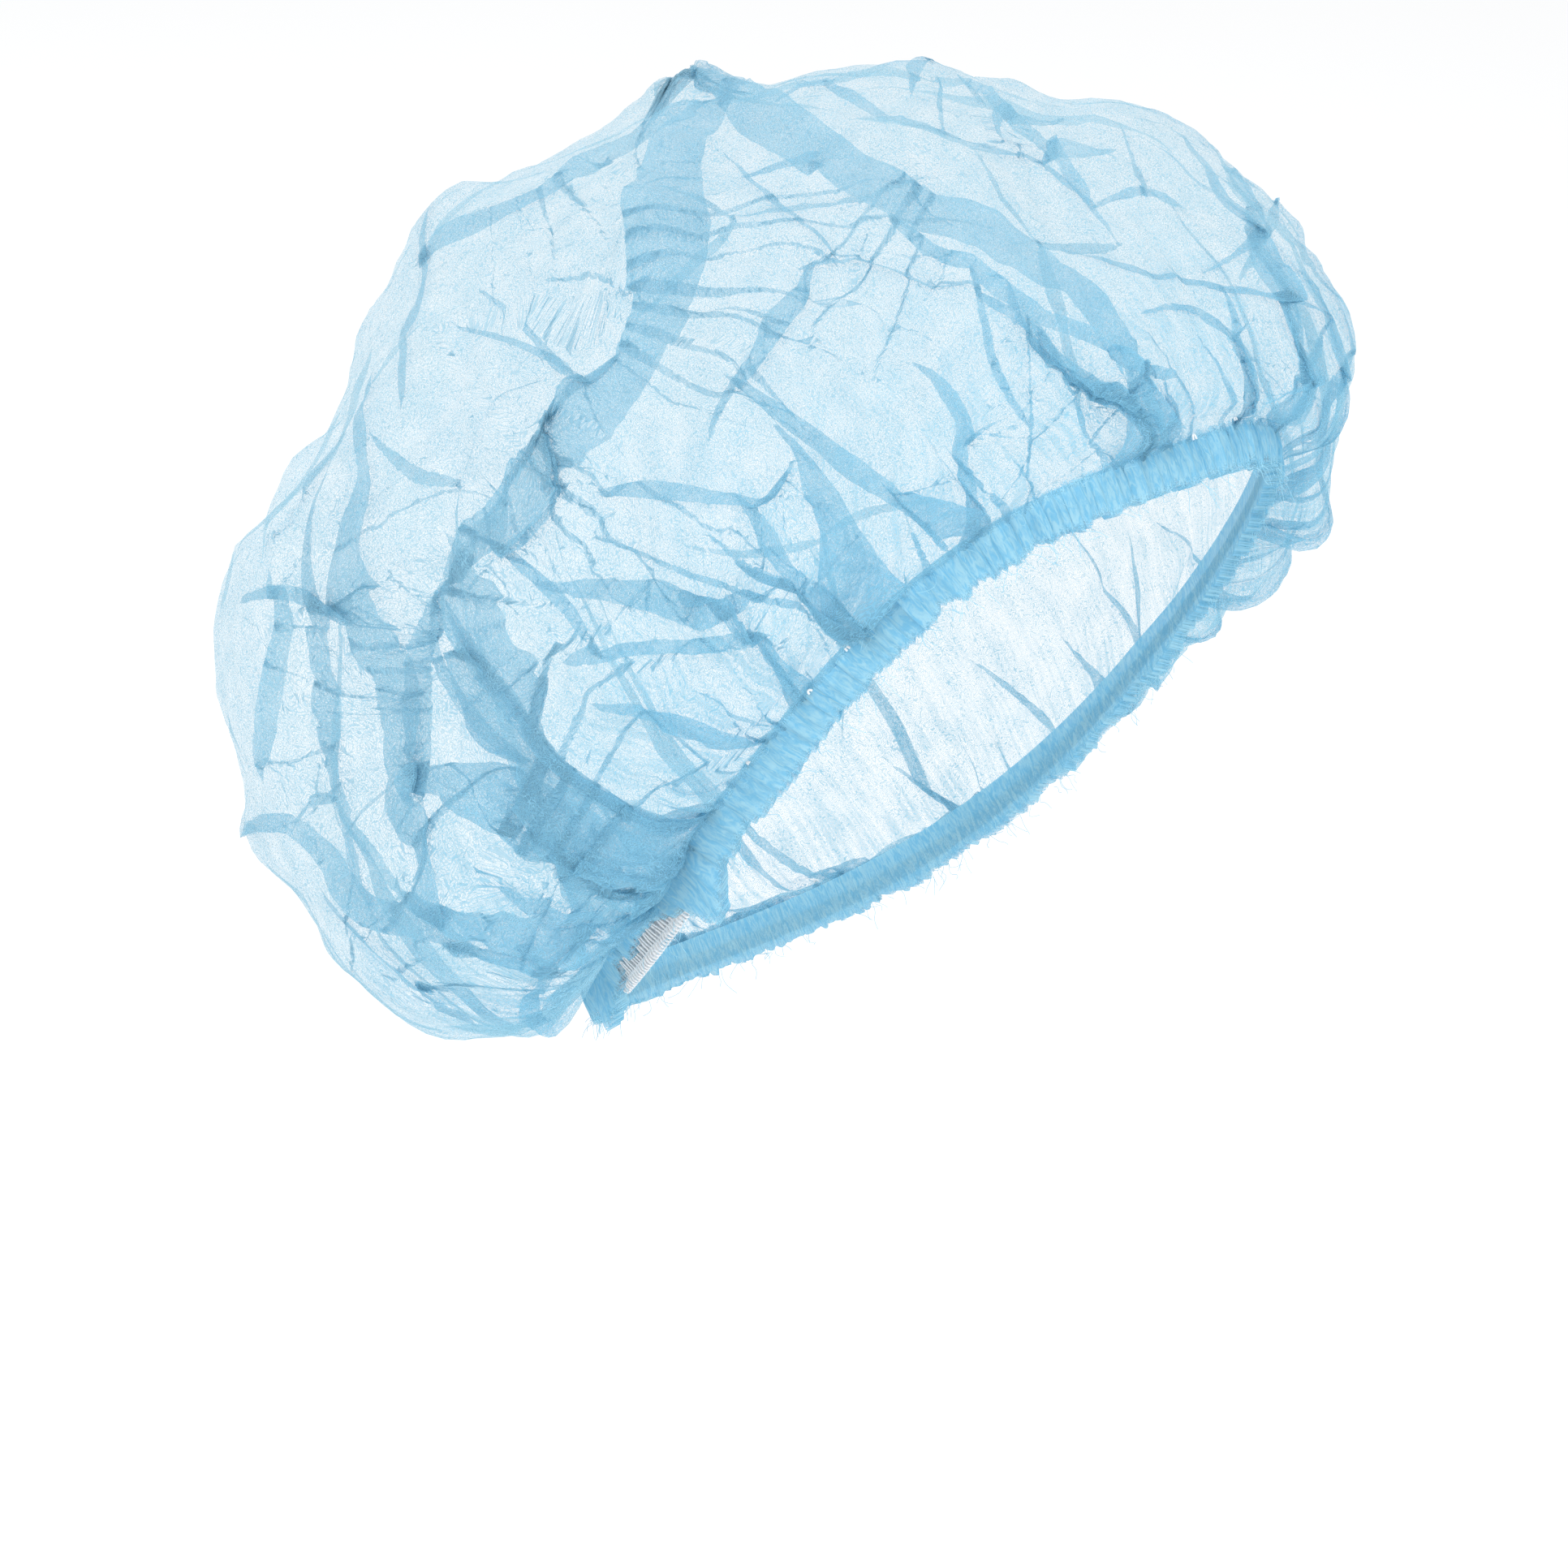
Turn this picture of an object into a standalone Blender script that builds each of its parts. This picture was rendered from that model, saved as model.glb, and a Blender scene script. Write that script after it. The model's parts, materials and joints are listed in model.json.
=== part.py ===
"""Disposable gathered hair cap, modelled upright in the form that it takes when worn, facing -Y.

A round sheet of thin nonwoven cloth is gathered all round into a narrow hem, and a flat elastic runs
inside the hem. Above it the cloth stands out as a puffed bag with lobes, folds and gathers. The origin
is the middle of the wearer's opening, +Z is up and +X is the wearer's left. Lengths are in metres and
angles in degrees. A turn is an angle round the opening: 0 at the forehead, 90 at the wearer's left.
"""

import math
from collections import namedtuple

import bmesh
import bpy
import numpy as np

# Sizes of the opening
OPENING_LENGTH = 0.201
OPENING_WIDTH = 0.124
OPENING_TILT = 43.0
OPENING_DROP = 0.016
WIDEST_FORWARD = 0.014
FOREHEAD_FULLNESS = 2.3
NAPE_FULLNESS = 2.1

# How the hem leans outwards from the opening's axis as it lies on the wearer
FOREHEAD_LEAN = 17.0
SIDE_LEAN = 30.0
NAPE_LEAN = -20.0

# Sizes of the puffed bag
PUFF_FULLNESS = 0.0145
PUFF_REACH = OPENING_LENGTH / 2 + PUFF_FULLNESS
PUFF_RISE = 0.0415
PUFF_FORWARD = 0.012
CLOTH_WALL = 0.001

# Gathers of the bag above the hem
GATHER_COUNT = 18
GATHER_DEPTH = 0.0040
GATHER_RUN = 0.055
GATHER_SHARPNESS = 1.5

# Bend of the cloth where it turns back in to the hem, and how gently a fold dies away past its ends
TURN_IN_BEND = 0.36
EDGE_LEVEL = 0.96
FOLD_FADE = 0.35

# Sizes of the hem, of the stretch where its cloth is pulled up, and of the elastic
HEM_HEIGHT = 0.0085
HEM_WALL = 0.0018
HEM_SWELL = 0.25
HEM_RUFFLE = 0.0009
RUFFLE_COUNT = 30
SLOW_RUFFLE_COUNT = 19
BARE_TURN = 243.0
BARE_SPAN = 13.0
BARE_RAISE = 0.0042
FLAP_LENGTH = 0.0045
FLAP_FLARE = 0.0050
FLAP_SPAN = 6.0
LOWER_FLAP = 0.5
ELASTIC_HEIGHT = 0.0034
ELASTIC_WALL = 0.0008
PIECE_GAP = 0.0003

# How finely each piece is divided
CROWN_QUARTER_COLUMNS = 27
CROWN_COLUMNS = 4 * CROWN_QUARTER_COLUMNS
QUARTER_BELOW = 0.13
HALF_BELOW = 0.28
BAG_ROWS = 19
ROW_CROWDING = 1.12
TURN_IN_ROWS = 4
HEM_COLUMNS = 120
ELASTIC_COLUMNS = 80

# A way round the opening, with the values of something in eight directions
Way = namedtuple("Way", "level front front_left left back_left back back_right right front_right")

# How far the hem's line dips out of a flat plane on its way round, as shares of OPENING_DROP
DIPS = Way(1.00, 0.00, -0.05, 0.62, 1.00, 0.60, 1.00, 0.62, -0.05)

# Reach of the bag from its middle, as shares of PUFF_REACH. The level runs from 0 at the crown's middle
# to 1 at the bag's lowest edge, from where it turns back in to the hem.
REACHES = (
    Way(0.00, 0.85, 0.85, 0.85, 0.85, 0.85, 0.85, 0.85, 0.85),
    Way(0.26, 0.82, 0.83, 0.88, 0.91, 0.92, 0.90, 0.87, 0.81),
    Way(0.50, 0.80, 0.88, 0.92, 1.00, 1.03, 1.02, 0.84, 0.78),
    Way(0.70, 0.84, 0.95, 0.94, 1.05, 1.08, 1.07, 0.81, 0.79),
    Way(0.86, 0.88, 0.96, 0.92, 1.04, 1.10, 1.14, 0.81, 0.82),
    Way(1.00, 0.90, 0.92, 0.84, 1.02, 1.12, 1.03, 0.78, 0.82),
)

# How far the bag hangs past the hem before it turns back in, in degrees seen from its middle
SAG = Way(1.00, -4, -1, -4, -5, -5, -1, -6, -6)

# Soft lobes that swell out of the bag. A turn and a spread are in degrees, a height is a share of
# PUFF_REACH and may be a hollow below zero.
Lobe = namedtuple("Lobe", "name turn level spread height")
LOBES = (
    Lobe("peak", 350, 0.19, 6, 0.070),
    Lobe("dent behind the peak", 30, 0.30, 10, -0.030),
    Lobe("far top", 66, 0.46, 17, 0.050),
    Lobe("far temple", 50, 0.84, 17, 0.060),
    Lobe("dent above the forehead", 10, 0.72, 14, -0.030),
    Lobe("back", 224, 0.58, 14, 0.105),
    Lobe("dent above the back", 236, 0.42, 10, -0.030),
    Lobe("nape", 216, 0.90, 13, 0.070),
    Lobe("dent above the nape", 245, 0.78, 10, -0.050),
    Lobe("far back", 140, 0.80, 22, 0.040),
    Lobe("far side", 95, 0.62, 18, 0.030),
    Lobe("middle of the back", 180, 0.50, 16, 0.030),
)

# Long folds of the cloth, each a ridge between two places. Width and height are shares of PUFF_REACH.
Fold = namedtuple("Fold", "name from_turn from_level to_turn to_level width height")
FOLDS = (
    Fold("band under the peak", 358, 0.22, 312, 0.54, 0.085, 0.055),
    Fold("band to the ear", 312, 0.54, 283, 0.74, 0.075, 0.045),
    Fold("top ridge", 348, 0.40, 356, 0.74, 0.060, 0.040),
    Fold("brow ridge", 344, 0.66, 352, 0.92, 0.055, 0.035),
    Fold("temple fold", 314, 0.74, 326, 0.98, 0.050, 0.040),
    Fold("upper temple fold", 328, 0.68, 310, 0.78, 0.050, 0.030),
    Fold("side fold", 294, 0.74, 312, 0.84, 0.050, 0.030),
    Fold("ear fold", 278, 0.83, 300, 0.97, 0.050, 0.035),
    Fold("behind the ear", 272, 0.70, 281, 0.98, 0.055, 0.040),
    Fold("nape fold", 244, 0.78, 272, 1.00, 0.055, 0.040),
    Fold("lower nape fold", 228, 0.90, 250, 1.00, 0.055, 0.035),
    Fold("back fold", 240, 0.45, 229, 0.84, 0.060, 0.040),
    Fold("second back fold", 205, 0.50, 196, 0.92, 0.065, 0.040),
    Fold("far back fold", 165, 0.42, 150, 0.92, 0.065, 0.045),
    Fold("far side fold", 120, 0.50, 112, 0.95, 0.060, 0.040),
    Fold("far ear fold", 92, 0.40, 82, 0.92, 0.060, 0.035),
    Fold("far temple fold", 60, 0.48, 50, 0.92, 0.055, 0.040),
    Fold("far brow fold", 34, 0.46, 22, 0.90, 0.055, 0.035),
)

CLOTH_BLUE = (0.36, 0.68, 0.86, 1.0)
HEM_BLUE = (0.24, 0.60, 0.84, 1.0)
ELASTIC_WHITE = (0.86, 0.87, 0.88, 1.0)


def opening_axes():
    """Unit vectors of the opening: towards the forehead, to the wearer's left, and up into the cap."""
    tilt = math.radians(OPENING_TILT)
    forward = np.array((0.0, -math.cos(tilt), math.sin(tilt)))
    left = np.array((1.0, 0.0, 0.0))
    inward = np.array((0.0, math.sin(tilt), math.cos(tilt)))
    return forward, left, inward


def place(forward, left, inward):
    """World points from distances along the opening's three axes."""
    axes = opening_axes()
    parts = np.broadcast_arrays(forward, left, inward)
    return sum(part[..., None] * axis for part, axis in zip(parts, axes))


def unit(vectors):
    """Each vector made one metre long."""
    return vectors / np.linalg.norm(vectors, axis=-1, keepdims=True)


def seat_line(turns):
    """The line at each turn where the cap's lower edge lies on the wearer."""
    cosine, sine = np.cos(np.radians(turns)), np.sin(np.radians(turns))
    power = 2 / np.where(cosine > 0, FOREHEAD_FULLNESS, NAPE_FULLNESS)
    forward = OPENING_LENGTH / 2 * np.sign(cosine) * np.abs(cosine) ** power
    forward = forward + WIDEST_FORWARD * sine**2
    left = OPENING_WIDTH / 2 * np.sign(sine) * np.abs(sine) ** power
    return place(forward, left, -OPENING_DROP * round_the_way(DIPS, turns))


def seat_frame(turns):
    """Unit vectors at each turn: away from the wearer, and up along them into the cap."""
    step = 0.5
    along = unit(seat_line(turns + step) - seat_line(turns - step))
    inward = opening_axes()[2]
    away = unit(np.cross(along, np.broadcast_to(inward, along.shape)))
    up = np.cross(away, along)
    cosine = np.cos(np.radians(turns))
    middle = (FOREHEAD_LEAN + NAPE_LEAN) / 2
    lean = middle * cosine**2 + (FOREHEAD_LEAN - NAPE_LEAN) / 2 * cosine + SIDE_LEAN * (1 - cosine**2)
    lean = np.radians(lean)[..., None]
    return away * np.cos(lean) - up * np.sin(lean), up * np.cos(lean) + away * np.sin(lean)


def seat_point(turns, out, up):
    """Points given by how far they stand off the wearer and how far up they lie from the lower edge."""
    away, along_up = seat_frame(turns)
    out, up = np.broadcast_arrays(out, up)
    return seat_line(turns) + away * out[..., None] + along_up * up[..., None]


def round_the_way(way, turns):
    """The values of a way's eight directions, read smoothly at any turn."""
    values = np.array(way[1:], float)
    count = len(values)
    total = np.full(np.shape(turns), values.mean())
    for wave in range(1, count // 2 + 1):
        share = 1 if wave == count // 2 else 2
        for number, value in enumerate(values):
            lag = np.radians(turns - 360 * number / count)
            total = total + share / count * value * np.cos(wave * lag)
    return total


def smooth_between(levels, values, at):
    """Values at evenly smooth levels: a cubic curve through each column's values."""
    levels = np.array(levels)
    slopes = np.gradient(values, levels, axis=0)
    slot = np.clip(np.searchsorted(levels, at, side="right") - 1, 0, len(levels) - 2)
    span = levels[slot + 1] - levels[slot]
    share = (at - levels[slot]) / span
    column = np.arange(values.shape[1])
    low, high = values[slot, column], values[slot + 1, column]
    rise, fall = slopes[slot, column] * span, slopes[slot + 1, column] * span
    cube, square = share**3, share**2
    first = (2 * cube - 3 * square + 1) * low + (cube - 2 * square + share) * rise
    return first + (3 * square - 2 * cube) * high + (cube - square) * fall


def bag_middle():
    """The middle that the bag's reach is measured from."""
    return place(np.array(PUFF_FORWARD), np.array(0.0), np.array(PUFF_RISE))


def seen_from_middle(points):
    """Reach, turn and polar angle of points seen from the bag's middle."""
    forward, left, inward = opening_axes()
    offset = points - bag_middle()
    reach = np.linalg.norm(offset, axis=-1)
    turn = np.degrees(np.arctan2(offset @ left, offset @ forward))
    return reach, turn, np.degrees(np.arccos(offset @ inward / reach))


def direction(turns, angles):
    """Unit vectors from the bag's middle."""
    turns, angles = np.radians(turns), np.radians(angles)
    return place(np.cos(turns) * np.sin(angles), np.sin(turns) * np.sin(angles), np.cos(angles))


def hem_inner_face():
    """How far the hem's inner face stands off the wearer, to leave room for the elastic."""
    return ELASTIC_WALL + 2 * PIECE_GAP


def crown_seat(turns):
    """Where the bag's outer face starts, just above the hem's top edge."""
    out = hem_inner_face() + HEM_WALL * (1 + HEM_SWELL)
    return seat_point(turns, np.array(out), np.array(HEM_HEIGHT + PIECE_GAP))


def bag_angle(turns, levels):
    """Polar angle of a level of the bag at each turn."""
    lowest = seen_from_middle(crown_seat(turns))[2] + round_the_way(SAG, turns)
    return lowest * levels


def ridge(points, fold):
    """Height of a fold at points of the bag, highest on the line between its two ends."""
    ends = np.array((fold.from_turn, fold.to_turn), float)
    levels = np.array((fold.from_level, fold.to_level))
    start, end = direction(ends, bag_angle(ends, levels))
    side = unit(np.cross(start, end))
    ahead = np.cross(side, start)
    length = math.acos(float(np.clip(start @ end, -1, 1)))
    across = np.arcsin(np.clip(points @ side, -1, 1))
    along = np.arctan2(points @ ahead, points @ start) / length
    fade = np.clip(1 - np.maximum(-along, along - 1) / FOLD_FADE, 0, 1)
    fade = fade * fade * (3 - 2 * fade)
    return fold.height * PUFF_REACH * fade * np.exp(-((across / fold.width) ** 2))


def swell(points, lobe):
    """Height of a lobe at points of the bag."""
    turn = np.array(float(lobe.turn))
    middle = direction(turn, bag_angle(turn, lobe.level))
    off = np.degrees(np.arccos(np.clip(points @ middle, -1, 1)))
    return lobe.height * PUFF_REACH * np.exp(-((off / lobe.spread) ** 2))


def bag_row(turns, level):
    """Outer face of the bag at one level from its middle, 0, to its lowest edge, 1."""
    reaches = np.array([round_the_way(way, turns) for way in REACHES]) * PUFF_REACH
    angles = bag_angle(turns, level)
    sphere = direction(turns, angles)
    reach = smooth_between([way.level for way in REACHES], reaches, np.full(turns.shape, level))
    for lobe in LOBES:
        reach = reach + swell(sphere, lobe)
    for fold in FOLDS:
        reach = reach + ridge(sphere, fold)
    to_edge = np.radians(bag_angle(turns, 1.0) - angles) * PUFF_REACH
    fade = np.clip(1 - to_edge / GATHER_RUN, 0, 1) ** GATHER_SHARPNESS
    reach = reach + GATHER_DEPTH * fade * np.cos(np.radians(turns * GATHER_COUNT))
    return bag_middle() + sphere * reach[..., None]


def turn_in_row(turns, share):
    """Outer face where the bag turns back in, from its lowest edge, share 0, to the hem, share 1."""
    edge, before = bag_row(turns, 1.0), bag_row(turns, EDGE_LEVEL)
    seat = crown_seat(turns)
    away = seat_frame(turns)[0]
    handle = TURN_IN_BEND * np.linalg.norm(seat - edge, axis=-1, keepdims=True)
    first = edge + unit(edge - before) * handle
    second = seat + unit(away + unit(edge - seat)) * handle
    rest = 1 - share
    ends = edge * rest**3 + seat * share**3
    return ends + 3 * share * rest * (first * rest + second * share)


def crown_row(turns, level):
    """Outer face at any level: the bag up to level 1, and its way back in to the hem up to level 2."""
    return bag_row(turns, level) if level <= 1 else turn_in_row(turns, level - 1)


def crown_levels():
    """Levels of the bag's rows from near its middle to the hem, closer together at the gathers."""
    spread = np.arange(1, BAG_ROWS + 1) / BAG_ROWS
    turned_in = np.arange(1, TURN_IN_ROWS + 1) / TURN_IN_ROWS
    return np.concatenate([1 - (1 - spread) ** ROW_CROWDING, 1 + turned_in])


def new_object(name, mesh_data, colour, roughness):
    """A named object with its own material, from a bmesh."""
    bmesh.ops.recalc_face_normals(mesh_data, faces=mesh_data.faces)
    mesh = bpy.data.meshes.new(name)
    mesh_data.to_mesh(mesh)
    mesh_data.free()
    for polygon in mesh.polygons:
        polygon.use_smooth = True
    material = bpy.data.materials.new(name)
    material.use_nodes = True
    shader = material.node_tree.nodes["Principled BSDF"]
    shader.inputs["Base Color"].default_value = colour
    shader.inputs["Roughness"].default_value = roughness
    shader.inputs["Metallic"].default_value = 0.0
    mesh.materials.append(material)
    item = bpy.data.objects.new(name, mesh)
    bpy.context.scene.collection.objects.link(item)
    return item


def join_rings(mesh_data, first, second):
    """Faces between two rings of points. The second may hold as many points as the first, or twice."""
    count = len(first)
    for number in range(count):
        after = (number + 1) % count
        if len(second) == count:
            mesh_data.faces.new((first[number], first[after], second[after], second[number]))
            continue
        low, middle = second[2 * number], second[2 * number + 1]
        high = second[(2 * number + 2) % len(second)]
        mesh_data.faces.new((first[number], middle, low))
        mesh_data.faces.new((first[number], first[after], middle))
        mesh_data.faces.new((first[after], high, middle))


def bag_skin(mesh_data, inset):
    """One face of the bag's wall, set in from the outer face, as rings of points from middle to hem."""
    turns = np.arange(CROWN_COLUMNS) * 360 / CROWN_COLUMNS
    levels = crown_levels()
    rows = np.array([crown_row(turns, level) for level in levels])
    top = crown_row(np.array([0.0]), 0.0)
    before = np.concatenate([np.repeat(top, CROWN_COLUMNS, axis=0)[None], rows[:-1]])
    after = np.concatenate([rows[1:], rows[-1:]])
    across = np.roll(rows, -1, axis=1) - np.roll(rows, 1, axis=1)
    rows = rows - unit(np.cross(after - before, across)) * inset
    rings = [[mesh_data.verts.new(top[0] - opening_axes()[2] * inset)]]
    for level, row in zip(levels, rows):
        step = 4 if level < QUARTER_BELOW else 2 if level < HALF_BELOW else 1
        rings.append([mesh_data.verts.new(point) for point in row[::step]])
    first = rings[1]
    for number, vert in enumerate(first):
        mesh_data.faces.new((rings[0][0], vert, first[(number + 1) % len(first)]))
    for inner, outer in zip(rings[1:-1], rings[2:]):
        join_rings(mesh_data, inner, outer)
    return rings


def build_crown():
    """The puffed bag: an outer and an inner skin, joined along the edge that is sewn to the hem."""
    mesh_data = bmesh.new()
    outer = bag_skin(mesh_data, 0.0)
    inner = bag_skin(mesh_data, CLOTH_WALL)
    join_rings(mesh_data, outer[-1], inner[-1])
    return new_object("crown", mesh_data, CLOTH_BLUE, 0.9)


def loop_band(name, columns, profile, colour, roughness):
    """A closed band round the opening. The profile gives each turn's corners as (out, up) pairs."""
    mesh_data = bmesh.new()
    turns = np.arange(columns) * 360 / columns
    rings = []
    for out, up in profile(turns):
        rings.append([mesh_data.verts.new(point) for point in seat_point(turns, out, up)])
    for number, ring in enumerate(rings):
        join_rings(mesh_data, ring, rings[(number + 1) % len(rings)])
    return new_object(name, mesh_data, colour, roughness)


def bump(turns, at, span):
    """A smooth rise from 0 to 1 at one turn, over a span on each side of it."""
    off = np.abs((turns - at + 180) % 360 - 180) / span
    share = np.clip(1 - off, 0, 1)
    return share * share * (3 - 2 * share)


def hem_profile(turns):
    """Corners of the gathered hem, ruffled all round, pulled up where the elastic lies bare."""
    bare = np.clip(2 * bump(turns, BARE_TURN, BARE_SPAN), 0, 1)
    upper_flap = bump(turns, BARE_TURN + BARE_SPAN + FLAP_SPAN / 2, FLAP_SPAN)
    lower_flap = bump(turns, BARE_TURN - BARE_SPAN - FLAP_SPAN / 2, FLAP_SPAN)
    flap = upper_flap + LOWER_FLAP * lower_flap
    ruffle = np.cos(np.radians(turns * RUFFLE_COUNT))
    slow = np.cos(np.radians(turns * SLOW_RUFFLE_COUNT))
    inner = np.full(turns.shape, hem_inner_face())
    low = -HEM_RUFFLE * (ruffle + slow) / 2 + BARE_RAISE * bare - FLAP_LENGTH * flap
    middle = (low + HEM_HEIGHT) / 2
    thick = HEM_WALL * (1 + HEM_SWELL * ruffle)
    flare = FLAP_FLARE * flap
    return (
        (inner + thick, np.full(turns.shape, HEM_HEIGHT)),
        (inner + thick + HEM_RUFFLE * ruffle / 2, middle),
        (inner + thick + HEM_RUFFLE * ruffle + flare, low),
        (inner + flare, low),
        (inner, middle),
        (inner, np.full(turns.shape, HEM_HEIGHT)),
    )


def elastic_profile(turns):
    """Corners of the flat elastic that lies between the hem and the wearer."""
    inner = np.full(turns.shape, PIECE_GAP)
    outer = inner + ELASTIC_WALL
    bottom = np.full(turns.shape, HEM_RUFFLE)
    top = bottom + ELASTIC_HEIGHT
    return ((outer, top), (outer, bottom), (inner, bottom), (inner, top))


def clear_scene():
    """Remove whatever the scene holds."""
    for item in list(bpy.data.objects):
        bpy.data.objects.remove(item)


def main():
    """Build the three pieces of the cap."""
    clear_scene()
    build_crown()
    loop_band("gathered_hem", HEM_COLUMNS, hem_profile, HEM_BLUE, 0.9)
    loop_band("elastic_band", ELASTIC_COLUMNS, elastic_profile, ELASTIC_WHITE, 0.6)


main()
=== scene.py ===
"""Looks of a disposable bouffant cap: thin blue nonwoven cloth gathered into a ruffled hem over an elastic.

The cloth is one round sheet. Its flat place is called the chart: metres from the sheet's middle, with the
forehead ahead (x) and the wearer's left beside it (y). The frame's crown gives the smooth puffed form that
the sheet lies on, and folds, pleats and crumples are laid into the sheet as real doubled cloth.
"""

from __future__ import annotations

import json
import logging
import math
from dataclasses import dataclass
from enum import Enum
from typing import Iterable, NamedTuple, Sequence

import bpy
import numpy as np
from mathutils import Matrix, Vector, noise
from mathutils.bvhtree import BVHTree

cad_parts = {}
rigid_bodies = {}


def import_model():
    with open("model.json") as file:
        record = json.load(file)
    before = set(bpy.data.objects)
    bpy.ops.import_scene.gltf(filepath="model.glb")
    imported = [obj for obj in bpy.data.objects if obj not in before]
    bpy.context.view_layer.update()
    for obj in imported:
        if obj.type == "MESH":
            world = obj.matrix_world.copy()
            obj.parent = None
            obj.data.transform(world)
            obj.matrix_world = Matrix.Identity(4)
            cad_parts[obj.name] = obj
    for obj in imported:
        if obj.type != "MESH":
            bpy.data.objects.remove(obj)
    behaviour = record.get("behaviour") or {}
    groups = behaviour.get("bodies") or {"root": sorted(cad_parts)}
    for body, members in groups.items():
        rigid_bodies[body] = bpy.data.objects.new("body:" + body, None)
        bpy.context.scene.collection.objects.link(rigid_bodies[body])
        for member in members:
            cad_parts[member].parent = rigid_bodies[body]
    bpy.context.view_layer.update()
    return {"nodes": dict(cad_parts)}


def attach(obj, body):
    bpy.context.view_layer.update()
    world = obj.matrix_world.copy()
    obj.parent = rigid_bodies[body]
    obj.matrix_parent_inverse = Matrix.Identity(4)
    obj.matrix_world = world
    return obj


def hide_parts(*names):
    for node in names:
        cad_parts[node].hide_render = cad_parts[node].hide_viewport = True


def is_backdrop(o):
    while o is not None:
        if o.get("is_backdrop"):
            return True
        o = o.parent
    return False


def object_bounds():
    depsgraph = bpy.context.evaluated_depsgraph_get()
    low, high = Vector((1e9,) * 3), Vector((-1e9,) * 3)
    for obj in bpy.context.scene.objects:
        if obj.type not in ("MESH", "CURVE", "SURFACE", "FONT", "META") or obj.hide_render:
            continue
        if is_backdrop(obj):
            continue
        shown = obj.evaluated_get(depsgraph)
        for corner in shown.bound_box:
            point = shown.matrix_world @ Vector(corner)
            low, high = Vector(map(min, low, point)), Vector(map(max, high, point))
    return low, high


LOG = logging.getLogger("cap")
Array = np.ndarray
Triple = tuple[float, float, float]
Colour = tuple[float, float, float, float]
MM = 0.001
CREASE_ANGLE = 38.0


class Lean(Enum):
    """The side that a fold's crest lies over to, seen along its path from outside the cap."""

    LEFT = 1.0
    RIGHT = -1.0


class Slot(Enum):
    """Material slots of the record."""

    CLOTH = "nonwoven_cloth"
    HEM = "hem_cloth"
    ELASTIC = "white_elastic"


def unit(vectors: Array) -> Array:
    """Each vector made one metre long."""
    return vectors / np.maximum(np.linalg.norm(vectors, axis=-1, keepdims=True), 1e-12)


def smooth_step(low: float, high: float, values: Array) -> Array:
    """A smooth rise from 0 at low to 1 at high."""
    share = np.clip((values - low) / (high - low), 0, 1)
    return share * share * (3 - 2 * share)


def deselect_all() -> None:
    """Leave nothing selected, so that an operator acts on its own piece alone."""
    for item in bpy.context.view_layer.objects:
        item.select_set(False)


@dataclass(frozen=True)
class PhotoView:
    """The camera at the photograph's viewing angle, and the lines of sight through its pixels.

    The photograph is frame_px wide. The point aim of the cap is seen at the pixel aim_px.
    """

    frame_px: float = 1932.0
    px_per_metre: float = 5975.0
    distance: float = 1.45
    azimuth: float = 312.0
    elevation: float = 20.0
    aim: Triple = (0.0, 0.0195, 0.0385)
    aim_px: tuple[float, float] = (1016.0, 655.0)
    sensor_mm: float = 36.0

    def axes(self) -> tuple[Array, Array, Array]:
        """Unit vectors to the picture's right, up it, and back towards the camera."""
        turn, rise = math.radians(self.azimuth), math.radians(self.elevation)
        back = np.array((math.sin(turn) * math.cos(rise), -math.cos(turn) * math.cos(rise), math.sin(rise)))
        right = unit(np.cross((0.0, 0.0, 1.0), back))
        return right, np.cross(back, right), back

    def on_plane(self, px: float, py: float) -> Array:
        """The point seen at a pixel, on the plane through aim that faces the camera.

        Args:
            px: The pixel across.
            py: The pixel down.

        Returns:
            The point.
        """
        right, up, _ = self.axes()
        across = (px - self.aim_px[0]) / self.px_per_metre
        down = (py - self.aim_px[1]) / self.px_per_metre
        return np.array(self.aim) + right * across - up * down

    def place(self) -> Array:
        """Where the camera stands."""
        middle = self.frame_px / 2
        return self.on_plane(middle, middle) + self.axes()[2] * self.distance

    def build(self) -> bpy.types.Object:
        """Make the camera and look through it.

        Returns:
            The camera object.
        """
        deselect_all()
        right, up, back = self.axes()
        turned = Matrix((right, up, back)).transposed().to_euler()
        bpy.ops.object.camera_add(location=self.place(), rotation=turned)
        camera = bpy.context.object
        camera.data.sensor_width = self.sensor_mm
        seen = self.frame_px / self.px_per_metre
        camera.data.lens = self.sensor_mm * self.distance / seen
        bpy.context.scene.camera = camera
        return camera


@dataclass(frozen=True)
class OpeningAxes:
    """The opening's own directions: it faces down and forward, tilted from level."""

    tilt: float = 43.0

    def matrix(self) -> Array:
        """Rows: towards the forehead, to the wearer's left, and up into the cap."""
        cosine, sine = math.cos(math.radians(self.tilt)), math.sin(math.radians(self.tilt))
        return np.array(((0.0, -cosine, sine), (1.0, 0.0, 0.0), (0.0, sine, cosine)))


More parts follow.
